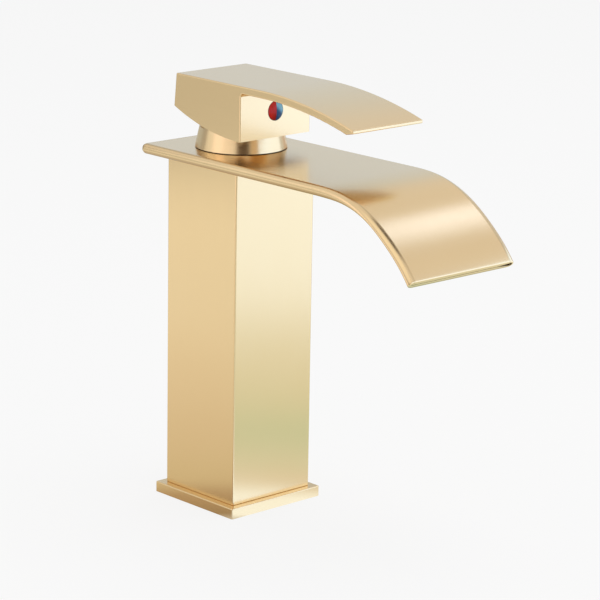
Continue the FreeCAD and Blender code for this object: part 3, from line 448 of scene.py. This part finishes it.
def painted_rim_shade(tree):
    """Painted shade round a rim: a dark line in the crease above and a darker lower side. The map called rim
    runs from 0 on the flat above to 1 on the flat below."""
    rim = add_node(tree, "ShaderNodeUVMap", uv_map="rim").outputs["UV"]
    down = add_node(tree, "ShaderNodeSeparateXYZ", {"Vector": rim}).outputs["X"]
    return colour_ramp(tree, down, [(place, opaque(shade, shade, shade)) for place, shade in RIM_PAINTED_SHADES])


def satin_metal(name, along, light, deep, rough, swing, rim=False):
    """Rough metal: strokes along one axis swing the roughness and raise the bump, and patches tint it."""
    material, tree = blank_material(name)
    place = object_place(tree)
    stretched = add_node(tree, "ShaderNodeVectorMath", {0: place, 1: STROKES[along]},
                         operation="MULTIPLY").outputs["Vector"]
    strokes = noise(tree, stretched, 1.0)
    colour = blend_colours(tree, noise(tree, place, PATCH_SCALE), deep, light)
    # On a rim, painted shade from the rim map darkens the colour.
    if rim:
        colour = blend_colours(tree, painted_rim_shade(tree), RIM_PAINTED_SHADE, colour)
    gloss = spread(tree, strokes, 0.0, 1.0, rough - swing, rough + swing, "LINEAR")
    principled(tree, {"Base Color": colour, "Metallic": 1.0, "Roughness": gloss,
                      "Normal": raised(tree, strokes, STROKE_DEPTH)})
    return material


def gold(along, rim=False):
    """The tap's plating with strokes along one axis, or round the upright axis."""
    name = "satin_gold_" + ("rim_" if rim else "") + along
    return satin_metal(name, along, GOLD, GOLD_DEEP, GOLD_ROUGH, GOLD_ROUGH_SWING, rim)


def dress(material, *names):
    """Give CAD nodes a finish."""
    for name in names:
        mesh = NODES[name].data
        mesh.materials.clear()
        mesh.materials.append(material)
    print(material.name, "on", ", ".join(names))


GOLD_RIM = gold("x", rim=True)
GOLD_UP = gold("z")
dress(gold("x"), "handle")
dress(gold("y"), "base_plate")
dress(gold("round"), "bonnet")

# %% [markdown]
# The CAD gives every piece its size, and some that show gain from a second shape: the column, the spout
# with its tail and the two enamel domes have soft edges, fine lines and crowns that a CAD model has no
# need of. They could be modelled by hand, but a grid of points worked out with numpy keeps every size in
# sight. Rows follow each other along the piece and columns go round it, so the quads need only be
# counted.

# %% Surfaces from grids
SHARP_ANGLE = math.radians(28)
WELD_DISTANCE = 0.0001 * MM


def grid_faces(rows, columns):
    """Quads that join corner (i, j) to row i + 1 and column j + 1, where the last of each meets the first."""
    i, j = np.meshgrid(np.arange(rows), np.arange(columns), indexing="ij")
    after, beside = (i + 1) % rows, (j + 1) % columns
    corners = (i * columns + j, i * columns + beside, after * columns + beside, after * columns + j)
    return np.stack(corners, axis=-1).reshape(-1, 4)


def map_rim(mesh, down):
    """Keep each point's place round the rim, 0 above and 1 below, in a map that the finish can read."""
    corner = np.empty(len(mesh.loops), dtype=np.int32)
    mesh.loops.foreach_get("vertex_index", corner)
    places = np.stack([down.reshape(-1)[corner], np.zeros(len(corner))], axis=-1)
    mesh.uv_layers.new(name="rim").data.foreach_set("uv", places.astype(np.float32).reshape(-1))


def soften(mesh):
    """Smooth shading that breaks where two faces meet at more than the sharp angle."""
    mesh.shade_smooth()
    mesh.set_sharp_from_angle(angle=SHARP_ANGLE)


def surface(name, points, faces, material, down=None):
    """A closed mesh of points in millimetres: doubles merged, faces outward, smooth but for sharp edges."""
    mesh = bpy.data.meshes.new(name)
    mesh.from_pydata((points.reshape(-1, 3) * MM).tolist(), [], list(faces))
    if down is not None:
        map_rim(mesh, down)
    work = bmesh.new()
    work.from_mesh(mesh)
    bmesh.ops.remove_doubles(work, verts=work.verts, dist=WELD_DISTANCE)
    bmesh.ops.recalc_face_normals(work, faces=work.faces)
    work.to_mesh(mesh)
    work.free()
    soften(mesh)
    mesh.materials.append(material)
    piece = bpy.data.objects.new(name, mesh)
    bpy.context.scene.collection.objects.link(piece)
    return piece


def settle(piece, body, slot, *nodes):
    """Attach the piece to what it rides on and hide the CAD nodes it stands for. The slot is not used."""
    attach(piece, body)
    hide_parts(*nodes)
    print(piece.name, "has", len(piece.data.polygons), "faces and stands for", ", ".join(nodes))


# %% [markdown]
# The column is a square tube, cut, deburred and pushed over the foot plate's lip. It could be a bevelled
# box, but a stack of rounded squares gives each edge its own radius: crisp upright corners, and a rubbed
# foot that leaves a thin dark line where it meets the plate. A guard point on each side of every corner
# keeps the flats flat in shading.

# %% Column
COLUMN_HALF, COLUMN_CORNER = 22.5, 0.8
COLUMN_INSIDE, INSIDE_CORNER = 20.0, 1.0
COLUMN_FOOT, COLUMN_HEAD = 4.7, 153.4
FOOT_ROUND, HEAD_ROUND = 0.35, 0.1
CORNER_STEPS, EDGE_STEPS = 8, 5
GUARD = 0.06


def rounded_square(half, radius):
    """One corner's arc from 0 to 90 degrees with a guard point before and after it, turned into all four."""
    turn = np.linspace(0, math.pi / 2, CORNER_STEPS + 1)
    arc = half - radius + radius * np.stack([np.cos(turn), np.sin(turn)], axis=-1)
    corner = np.vstack([arc[0] - [0, GUARD], arc, arc[-1] - [GUARD, 0]])
    quarter = np.array([[0, 1], [-1, 0]])
    return np.vstack([corner @ np.linalg.matrix_power(quarter, k) for k in range(4)])


def stack_squares(halves, radii, heights):
    """Rounded squares of the given half sides and corner radii, one above the other."""
    squares = [rounded_square(half, radius) for half, radius in zip(halves, radii)]
    return np.stack([np.column_stack([square, np.full(len(square), height)])
                     for square, height in zip(squares, heights)])


def edge_round(radius, start, end):
    """How far a rounded edge has come in from the wall and from the end face, as its arc turns."""
    turn = np.radians(np.linspace(start, end, EDGE_STEPS + 1))
    return radius * (1 - np.cos(turn)), radius * (1 - np.sin(turn))


def build_column():
    """Outside up with both ends rounded, then down the bore, and back to the first row."""
    foot_in, foot_up = edge_round(FOOT_ROUND, 90, 0)
    head_in, head_down = edge_round(HEAD_ROUND, 0, 90)
    guards = [COLUMN_FOOT + FOOT_ROUND + GUARD, COLUMN_HEAD - HEAD_ROUND - GUARD]
    inset = np.concatenate([foot_in, [0, 0], head_in])
    rise = np.concatenate([COLUMN_FOOT + foot_up, guards, COLUMN_HEAD - head_down])
    halves = np.concatenate([COLUMN_HALF - inset, [COLUMN_INSIDE, COLUMN_INSIDE]])
    radii = np.concatenate([COLUMN_CORNER - inset, [INSIDE_CORNER, INSIDE_CORNER]])
    heights = np.concatenate([rise, [COLUMN_HEAD, COLUMN_FOOT]])
    rows = stack_squares(halves, radii, heights)
    return surface("column_tube", rows, grid_faces(*rows.shape[:2]), GOLD_UP)


settle(build_column(), "faucet_body", "brushed_gold", "column")

# %% [markdown]
# The spout is a tube pressed flat until only a thin channel is left, then bent over a former. Its rims
# are half round on the plate, and the bend presses them into a flatter oval. Water leaves by a slit under
# a rolled upper lip, which gapes at one end. Two plates and two rods would leave seams, so one closed
# outline is carried along the middle line of the tube instead. First come the outlines: the skin, the
# channel inside it and the slit.

# %% Spout outline
SPOUT_HALF, SPOUT_FLAT = 30.3, 2.3
RIM_STEPS, SLOT_STEPS, SLOT_FLAT_STEPS = 40, 34, 4
SLOT_LAST_FLAT = 0.05
CHANNEL_WALL = 1.0
SLIT_MIDDLE, SLIT_UP, SLIT_NEAR, SLIT_FAR = 28.4, 0.72, 0.10, 0.80
SLIT_GAPE = 8.0
RIM_FLAT = (SPOUT_FLAT, SPOUT_FLAT)


def turns(start, end, steps):
    """Unit ways at evenly spaced angles in degrees."""
    turn = np.radians(np.linspace(start, end, steps + 1))
    return np.stack([np.cos(turn), np.sin(turn)], axis=-1)


def mirrored(side, other=None):
    """A right-hand run of points, then the mirror image of it or of another run, so that the outline
    closes."""
    other = side if other is None else other
    return np.concatenate([side, other[..., ::-1, :] * [-1, 1]], axis=-2)


RIM_WAY = np.vstack([[0, 1], turns(90, -90, RIM_STEPS), [0, -1]])
RIM_GUARD = np.concatenate([[GUARD], np.zeros(RIM_STEPS + 1), [GUARD]])
SKIN_WAY = mirrored(RIM_WAY)
RIM_DOWN = (1 - SKIN_WAY[:, 1]) / 2


def skin_outline(size):
    """Half oval rims of each half width and half height, joined by a flat top that stays and a bottom that
    follows: corner - size (1 - way), where way goes round a half circle."""
    inward = np.asarray(size, dtype=float)[..., None, :] * (1 - RIM_WAY)
    guard = np.stack([RIM_GUARD, 0 * RIM_GUARD], axis=-1)
    return mirrored(np.array([SPOUT_HALF, SPOUT_FLAT]) - inward - guard)


def slot_side(middle, half, up, gape=GUARD, thin=None):
    """One end of a slot with as many points as a rim: flats that grow from thin to half over the gape, and a
    round end."""
    run = np.linspace(1, SLOT_LAST_FLAT, SLOT_FLAT_STEPS)
    high = half + ((half if thin is None else thin) - half) * run
    above = np.stack([middle - gape * run, up + high], axis=-1)
    below = np.stack([middle - gape * run, up - high], axis=-1)
    return np.vstack([above, [middle, up] + half * turns(90, -90, SLOT_STEPS), below[::-1]])


def channel_outline(size):
    """The channel inside a skin of that rim size."""
    wide, high = size
    return mirrored(slot_side(SPOUT_HALF - wide, high - CHANNEL_WALL, SPOUT_FLAT - high))


SLIT = mirrored(slot_side(SLIT_MIDDLE, SLIT_FAR, SLIT_UP, SLIT_GAPE, SLIT_NEAR),
                slot_side(SLIT_MIDDLE, SLIT_NEAR, SLIT_UP))
print("points in the skin", len(SKIN_WAY), "slit", len(SLIT), "channel", len(channel_outline(RIM_FLAT)))

# %% [markdown]
# The tube lies level over the column, turns down in a tight arc and a longer one, and curls a little more
# at its lip. A curve object could carry an outline along such a path, but not one that changes on the
# way, so the path is walked in small steps. Metal never starts to bend at one line, so the turn is eased
# over a few millimetres.

# %% Spout path
TUBE_START, BEND_START, SPOUT_LEVEL = -29.08, 83.5, 155.7
BEND_PLACE = BEND_START - TUBE_START
BEND_RADIUS, BEND_TURN = 49.7, math.radians(34)
LIP_RADIUS, LIP_TURN = 115.7, math.radians(14.7)
LIP_CURL, CURL_RUN, LIP_EXTRA = math.radians(6), 8.0, 0.55
EASE = 9.0
PATH_STEP = 0.05


def bend_path():
    """Walk the middle line in small steps: the turn grows by step over radius, eased by a running mean, and
    the place grows by the cosine and sine of the turn."""
    bend_length = BEND_RADIUS * BEND_TURN
    length = BEND_PLACE + bend_length + LIP_RADIUS * LIP_TURN + LIP_EXTRA
    walked = np.arange(0, length + PATH_STEP / 2, PATH_STEP)
    into = walked - BEND_PLACE
    bow = np.where(into < 0, 0, np.where(into < bend_length, 1 / BEND_RADIUS, 1 / LIP_RADIUS))
    bow = bow + np.where(walked > length - CURL_RUN, LIP_CURL / CURL_RUN, 0)
    window = np.ones(int(2 * EASE / PATH_STEP) + 1)
    padded = np.pad(bow, len(window) // 2, mode="edge")
    turn = np.cumsum(np.convolve(padded, window / window.sum(), mode="valid")) * PATH_STEP
    x = TUBE_START + np.cumsum(np.cos(turn)) * PATH_STEP
    z = SPOUT_LEVEL - np.cumsum(np.sin(turn)) * PATH_STEP
    return walked, x, z, turn


def carry(outline, walked, push):
    """The outline's points set square to the path at each distance walked, and pushed on along the path."""
    walked = np.asarray(walked, dtype=float)[:, None]
    x, z, turn = (np.interp(walked, WALKED, values) for values in (PATH_X, PATH_Z, PATH_TURN))
    across, up = outline[..., 0], outline[..., 1]
    along = x + up * np.sin(turn) + push * np.cos(turn)
    height = z + up * np.cos(turn) - push * np.sin(turn)
    return np.stack([along, np.broadcast_to(across, along.shape), height], axis=-1)


WALKED, PATH_X, PATH_Z, PATH_TURN = bend_path()
PATH_END = WALKED[-1]
print("spout path", round(PATH_END, 1), "mm, ends at", round(PATH_X[-1], 2), round(PATH_Z[-1], 2),
      "turned", round(math.degrees(PATH_TURN[-1]), 2))

# %% [markdown]
# Now the outlines go along the path: out over the plated skin, round the rolled lip, back through the
# slit and the channel to the tail. An inner and an outer shell could be joined later, but as rows of one
# grid they close by themselves. The lip is cut at a slant, so the last rows lean forward more the lower
# they lie.

# %% Spout
LIP_ROUND, LIP_ROUND_BELOW = 0.45, 0.2
LIP_LEAN = math.tan(math.radians(17.7))
LIP_STEPS, BEND_ROWS = 8, 90
LIP_RUN, LIP_LEAD = 8.0, 0.6
SLIT_DEPTH = 6.0
SLIT_LEAN = np.array([[1.0], [0.0]])
TAIL_ROWS, BEND_LEAD = [0, 1], 1
BEND_FIRST_ROW = BEND_PLACE - EASE - BEND_LEAD
RIM_PLACES = np.array([-3.0, 33.0, 42.0, 60.0])
RIM_WIDE = np.array([2.3, 3.6, 3.6, 3.6])
RIM_HIGH = np.array([2.3, 1.55, 1.58, 1.65])


def rim_size(walked):
    """The rim's half width and half height at each distance walked: from stop to stop, eased by
    3 s^2 - 2 s^3."""
    into = np.asarray(walked, dtype=float) - BEND_PLACE
    stop = np.clip(np.searchsorted(RIM_PLACES, into) - 1, 0, len(RIM_PLACES) - 2)
    share = np.clip((into - RIM_PLACES[stop]) / (RIM_PLACES[stop + 1] - RIM_PLACES[stop]), 0, 1)
    eased = share ** 2 * (3 - 2 * share)
    return np.stack([sizes[stop] + (sizes[stop + 1] - sizes[stop]) * eased
                     for sizes in (RIM_WIDE, RIM_HIGH)], axis=-1)


def lip_reach(up):
    """How far the leaning lip lies beyond a square cut, for a point that high in the section."""
    return (SPOUT_FLAT - up) * LIP_LEAN


def skin_rows():
    """The plated skin from the tail to the lip, sheared into the lean over the last few millimetres."""
    bend = np.linspace(BEND_FIRST_ROW, PATH_END - LIP_ROUND - LIP_LEAD, BEND_ROWS)
    walked = np.concatenate([TAIL_ROWS, bend])
    skin = skin_outline(rim_size(walked))
    lean = np.clip(1 - (PATH_END - walked) / LIP_RUN, 0, 1) ** 2
    return carry(skin, walked, lean[:, None] * lip_reach(skin[..., 1]))


def lip_rows():
    """The edge rolls over by a quarter turn: in by 1 - cos and on by sin, with a larger radius above than
    below."""
    turn = np.linspace(0, math.pi / 2, LIP_STEPS + 1)[:, None]
    skin = skin_outline(rim_size(PATH_END))
    share = (skin[:, 1] - skin[:, 1].min()) / np.ptp(skin[:, 1])
    radius = LIP_ROUND_BELOW + (LIP_ROUND - LIP_ROUND_BELOW) * share
    rolled = skin - (radius * (1 - np.cos(turn)))[..., None] * SKIN_WAY
    push = lip_reach(rolled[..., 1]) + radius * (np.sin(turn) - 1)
    return carry(rolled, np.full(LIP_STEPS + 1, PATH_END), push)


def inner_rows():
    """Back through the slit, a step out into the channel, and along it to the tail."""
    bend = np.linspace(PATH_END - SLIT_DEPTH, BEND_FIRST_ROW, BEND_ROWS // 2)
    walked = np.concatenate([bend, [0]])
    mouth = carry(SLIT, [PATH_END, PATH_END - SLIT_DEPTH], SLIT_LEAN * lip_reach(SLIT[:, 1]))
    channel = carry(np.stack([channel_outline(size) for size in rim_size(walked)]), walked, 0.0)
    return np.vstack([mouth, channel])


def build_spout():
    """Skin, lip and inside are one ring of rows, so the grid closes both ways."""
    outside, inside = np.vstack([skin_rows(), lip_rows()]), inner_rows()
    down = np.vstack([np.tile(RIM_DOWN, (len(outside), 1)), np.zeros(inside.shape[:2])])
    rows = np.vstack([outside, inside])
    return surface("spout_tube", rows, grid_faces(*rows.shape[:2]), GOLD_RIM, down)


spout = build_spout()
print("spout skin made of", len(spout.data.polygons), "faces")

# %% [markdown]
# The valve's neck comes up through the flattened tube, and two small ways let the water in from below.
# The grid could be parted round them, but on the real tap they are drilled, so here they are cut too:
# three round cutters are taken away from the tube and put aside.

# %% Spout holes
NECK_HOLE, WAY_HOLE, WAY_PLACE = 19.25, 2.7, 15.9
DRILL_LOW, NECK_DRILL_HIGH, WAY_DRILL_HIGH = 152.0, 160.0, 155.4
DRILL_STEPS = 128


def drill(x, y, radius, high):
    """A closed round bar: two rings, each drawn to a middle point."""
    turn = np.linspace(0, 2 * math.pi, DRILL_STEPS, endpoint=False)
    ring = np.stack([x + radius * np.cos(turn), y + radius * np.sin(turn)], axis=-1)
    levels = ((0, DRILL_LOW), (1, DRILL_LOW), (1, high), (0, high))
    return np.stack([np.column_stack([[x, y] + share * (ring - [x, y]), np.full(DRILL_STEPS, level)])
                     for share, level in levels])


def drill_holes(piece, bars):
    """Take each bar away from the piece, keep the result as the piece's mesh and remove the bars."""
    for number, bar in enumerate(bars):
        faces = grid_faces(*bar.shape[:2])[:-DRILL_STEPS]
        cutter = surface("drill_bar_" + str(number), bar, faces, GOLD_RIM)
        cut = piece.modifiers.new("hole", "BOOLEAN")
        cut.operation, cut.solver, cut.object = "DIFFERENCE", "EXACT", cutter
        drilled = piece.evaluated_get(bpy.context.evaluated_depsgraph_get())
        mesh = bpy.data.meshes.new_from_object(drilled)
        piece.modifiers.remove(cut)
        piece.data = mesh
        bpy.data.objects.remove(cutter)
    soften(piece.data)


drill_holes(spout, [drill(0, 0, NECK_HOLE, NECK_DRILL_HIGH)] +
            [drill(WAY_PLACE, side * WAY_PLACE, WAY_HOLE, WAY_DRILL_HIGH) for side in (-1, 1)])
settle(spout, "faucet_body", "brushed_gold", "spout")

# %% [markdown]
# Behind the bonnet the tube is closed by a cap with the same round rim, which turns two corners. A
# bevelled block would not meet the tube's rim point for point, so the same outline is carried along a
# path in plan: down one side, round the back and up the other. Two rows on the tube's end plane close the
# top, the bottom and the front.

# %% Spout tail
TAIL_REAR, TAIL_CORNER = -32.3, 2.8
TAIL_STEPS = 10


def tail_path(inset):
    """Half of the plan outline, moved in by the inset: along the side, then a quarter turn to the back. The
    other half is its mirror image."""
    corner = TAIL_CORNER - inset
    middle = np.array([TAIL_REAR + inset + corner, SPOUT_HALF - inset - corner])
    side = np.array([[TUBE_START, SPOUT_HALF - inset], [middle[0] + GUARD, SPOUT_HALF - inset]])
    rear = np.array([[TAIL_REAR + inset, middle[1] - GUARD]])
    half = np.vstack([side, middle + corner * turns(90, 180, TAIL_STEPS), rear])
    return np.vstack([half, half[::-1] * [1, -1]])


def tail_row(across, up):
    """One row of the tail: the path moved in to where the outline is, at the outline's height."""
    plan = tail_path(SPOUT_HALF - across)
    return np.column_stack([plan, np.full(len(plan), SPOUT_LEVEL + up)])


def end_row(edge, up):
    """The same number of points on the tube's end plane, as far to each side as the row they close."""
    row = tail_row(edge, up)
    row[:, 0] = TUBE_START
    return row


def build_tail():
    """Rows follow the rim from the top to the bottom. The two ends of the rows are closed by flat faces."""
    side = skin_outline(RIM_FLAT)[:len(RIM_WAY)]
    rows = np.stack([end_row(*side[0])] + [tail_row(*point) for point in side] + [end_row(*side[-1])])
    count, columns = rows.shape[:2]
    quads = grid_faces(count, columns).reshape(count, columns, 4)[:, :-1].reshape(-1, 4).tolist()
    ends = [[row * columns + column for row in range(count)] for column in (0, columns - 1)]
    down = np.tile(np.concatenate([[0], RIM_DOWN[:len(side)], [1]])[:, None], (1, columns))
    return surface("spout_tail", rows, quads + ends, GOLD_RIM, down)


settle(build_tail(), "faucet_body", "brushed_gold", "spout_end_cap")

# %% [markdown]
# Inside are the pieces that nobody polishes: turned brass, pressed plastic, rubber rings, fired ceramic
# and steel. They show from below, or when the part is taken to pieces. One flat colour each would do from
# afar, but up close each has its own grain and gloss, so two kinds of finish with different numbers cover
# them all.

# %% Inner finishes
BRASS, BRASS_DEEP = opaque(0.78, 0.61, 0.31), opaque(0.70, 0.52, 0.24)
BRASS_ROUGH, BRASS_SWING = 0.33, 0.1
STEEL, STEEL_DEEP = opaque(0.63, 0.63, 0.61), opaque(0.55, 0.55, 0.54)
STEEL_ROUGH, STEEL_SWING = 0.28, 0.08
RUBBER, RUBBER_DUST = opaque(0.022, 0.022, 0.023), opaque(0.045, 0.044, 0.043)
# The washer is rubber, and its dark brown tone is also painted shade for the thin shadow line under the
# bonnet.
WASHER_AND_SHADE, WASHER_DUST = opaque(0.030, 0.015, 0.007), opaque(0.050, 0.028, 0.015)
RUBBER_SKIN, WASHER_SHINE = (0.6, 3000.0, 0.02 * MM), 0.12
PLASTIC, PLASTIC_DEEP = opaque(0.82, 0.82, 0.79), opaque(0.77, 0.77, 0.73)
PLASTIC_SKIN = (0.45, 2200.0, 0.008 * MM)
CERAMIC, CERAMIC_DEEP = opaque(0.93, 0.92, 0.88), opaque(0.90, 0.885, 0.835)
CERAMIC_SKIN = (0.12, 1500.0, 0.001 * MM)
USUAL_SHINE = 0.5
SPECKLE_DETAIL, MOTTLE_WIDER = 4.0, 12
GLOSS_LOW, GLOSS_HIGH = 0.85, 1.15


def moulded(name, light, deep, skin, shine=USUAL_SHINE):
    """A matt or glossy solid: fine grain raises the bump and mottles the colour a little. Its skin is the
    roughness, the grain's scale and the grain's depth."""
    rough, grain, depth = skin
    material, tree = blank_material(name)
    place = object_place(tree)
    speckle = noise(tree, place, grain, SPECKLE_DETAIL)
    mottle = noise(tree, place, grain / MOTTLE_WIDER)
    gloss = spread(tree, speckle, 0.0, 1.0, rough * GLOSS_LOW, rough * GLOSS_HIGH, "LINEAR")
    principled(tree, {"Base Color": blend_colours(tree, mottle, deep, light), "Roughness": gloss,
                      "Normal": raised(tree, speckle, depth), "Specular IOR Level": shine})
    return material


dress(satin_metal("turned_brass", "round", BRASS, BRASS_DEEP, BRASS_ROUGH, BRASS_SWING),
      "stud_bridge", "valve_block", "retaining_nut")
dress(satin_metal("drawn_steel", "y", STEEL, STEEL_DEEP, STEEL_ROUGH, STEEL_SWING),
      "pivot_pin", "stem", "set_screw")
dress(moulded("rubber", RUBBER, RUBBER_DUST, RUBBER_SKIN), "base_gasket", "port_seals", "disc_seals")
dress(moulded("washer_rubber", WASHER_AND_SHADE, WASHER_DUST, RUBBER_SKIN, WASHER_SHINE), "bonnet_washer")
dress(moulded("pressed_plastic", PLASTIC, PLASTIC_DEEP, PLASTIC_SKIN),
      "cartridge_base", "disc_carrier", "cartridge_housing", "stem_carrier")
dress(moulded("fired_ceramic", CERAMIC, CERAMIC_DEEP, CERAMIC_SKIN), "fixed_disc", "moving_disc")

# %% [markdown]
# The mark on the handle is a black plug with two half rounds of enamel, red for hot and blue for cold.
# Enamel is coloured glass that was poured and fired, so each half is domed. Each half is deep in colour and
# painted lighter towards its outer upper edge, a painted highlight, and a little painted glow is added to it.
# Half a flattened sphere would do, but its back would be open, so a dome is a grid of rings from the crown to
# the edge, with one more ring and a middle for its back.

# %% Enamel mark
MARK_FACE, MARK_BACK, MARK_HEIGHT = 21.76, 21.41, 176.8
MARK_RADIUS, MARK_EDGE, MARK_CROWN = 4.12, 0.06, 0.75
MARK_RINGS, MARK_STEPS = 12, 48
MARK_PLACE = (0.0, 0.0, MARK_HEIGHT * MM)
# The enamel's emission is a painted glow, as enamel is no lamp.
ENAMEL_ROUGH, ENAMEL_SHINE, ENAMEL_PAINTED_GLOW = 0.16, 0.22, 0.22
HOT_START, COLD_START = 90, -90
# The light tones are painted highlights, lighter towards each half's outer upper edge.
RED_WAY, RED_FADE = (0.0, -0.75, 0.40), (-1.5 * MM, 1.5 * MM)
RED_DEEP, RED_PAINTED_HIGHLIGHT = opaque(0.30, 0.006, 0.008), opaque(0.66, 0.024, 0.020)
BLUE_WAY, BLUE_FADE = (0.0, 0.62, 0.78), (0.2 * MM, 2.4 * MM)
BLUE_DEEP, BLUE_PAINTED_HIGHLIGHT = opaque(0.006, 0.070, 0.24), opaque(0.26, 0.66, 1.0)
PLUG, PLUG_DEEP = opaque(0.02, 0.02, 0.022), opaque(0.03, 0.03, 0.03)
PLUG_SKIN = (0.25, 1800.0, 0.002 * MM)


def build_dome(name, start, material):
    """Half of x = edge + crown (1 - s^2) over a disc of radius R, from the start angle on, closed behind and
    along the straight side."""
    share = np.concatenate([np.linspace(0, 1, MARK_RINGS), [1, 0]])[:, None]
    turn = np.radians(start + np.linspace(0, 180, MARK_STEPS + 1))
    front = MARK_FACE + MARK_EDGE + MARK_CROWN * (1 - share[:-2] ** 2)
    x = np.vstack([front, [[MARK_BACK], [MARK_BACK]]]) + 0 * turn
    out = MARK_RADIUS * share
    points = np.stack([x, out * np.cos(turn), MARK_HEIGHT + out * np.sin(turn)], axis=-1)
    rows, columns = share.size, turn.size
    quads = grid_faces(rows, columns).reshape(rows, columns, 4)[:-1, :-1].reshape(-1, 4).tolist()
    straight = [row * columns for row in range(rows)] + [row * columns - 1 for row in range(rows - 1, 1, -1)]
    return surface(name, points, quads + [straight], material)


def enamel(name, deep, light, way, fade):
    """A deep tone and a painted highlight of one colour, blended by how far a place lies from the mark's
    middle along the way given, plus a painted glow.
    """
    material, tree = blank_material(name)
    from_middle = add_node(tree, "ShaderNodeVectorMath", {0: object_place(tree), 1: MARK_PLACE},
                           operation="SUBTRACT").outputs["Vector"]
    colour = blend_colours(tree, spread(tree, reach(tree, from_middle, way), *fade), deep, light)
    principled(tree, {"Base Color": colour, "Roughness": ENAMEL_ROUGH, "Specular IOR Level": ENAMEL_SHINE,
                      "Emission Color": colour, "Emission Strength": ENAMEL_PAINTED_GLOW})
    return material


dress(moulded("plug_black", PLUG, PLUG_DEEP, PLUG_SKIN), "indicator_plug")
hot = build_dome("hot_dome", HOT_START, enamel("hot_enamel", RED_DEEP, RED_PAINTED_HIGHLIGHT, RED_WAY, RED_FADE))
cold = build_dome("cold_dome", COLD_START, enamel("cold_enamel", BLUE_DEEP, BLUE_PAINTED_HIGHLIGHT, BLUE_WAY, BLUE_FADE))
settle(hot, "lever", "hot_red", "hot_mark")
settle(cold, "lever", "cold_blue", "cold_mark")
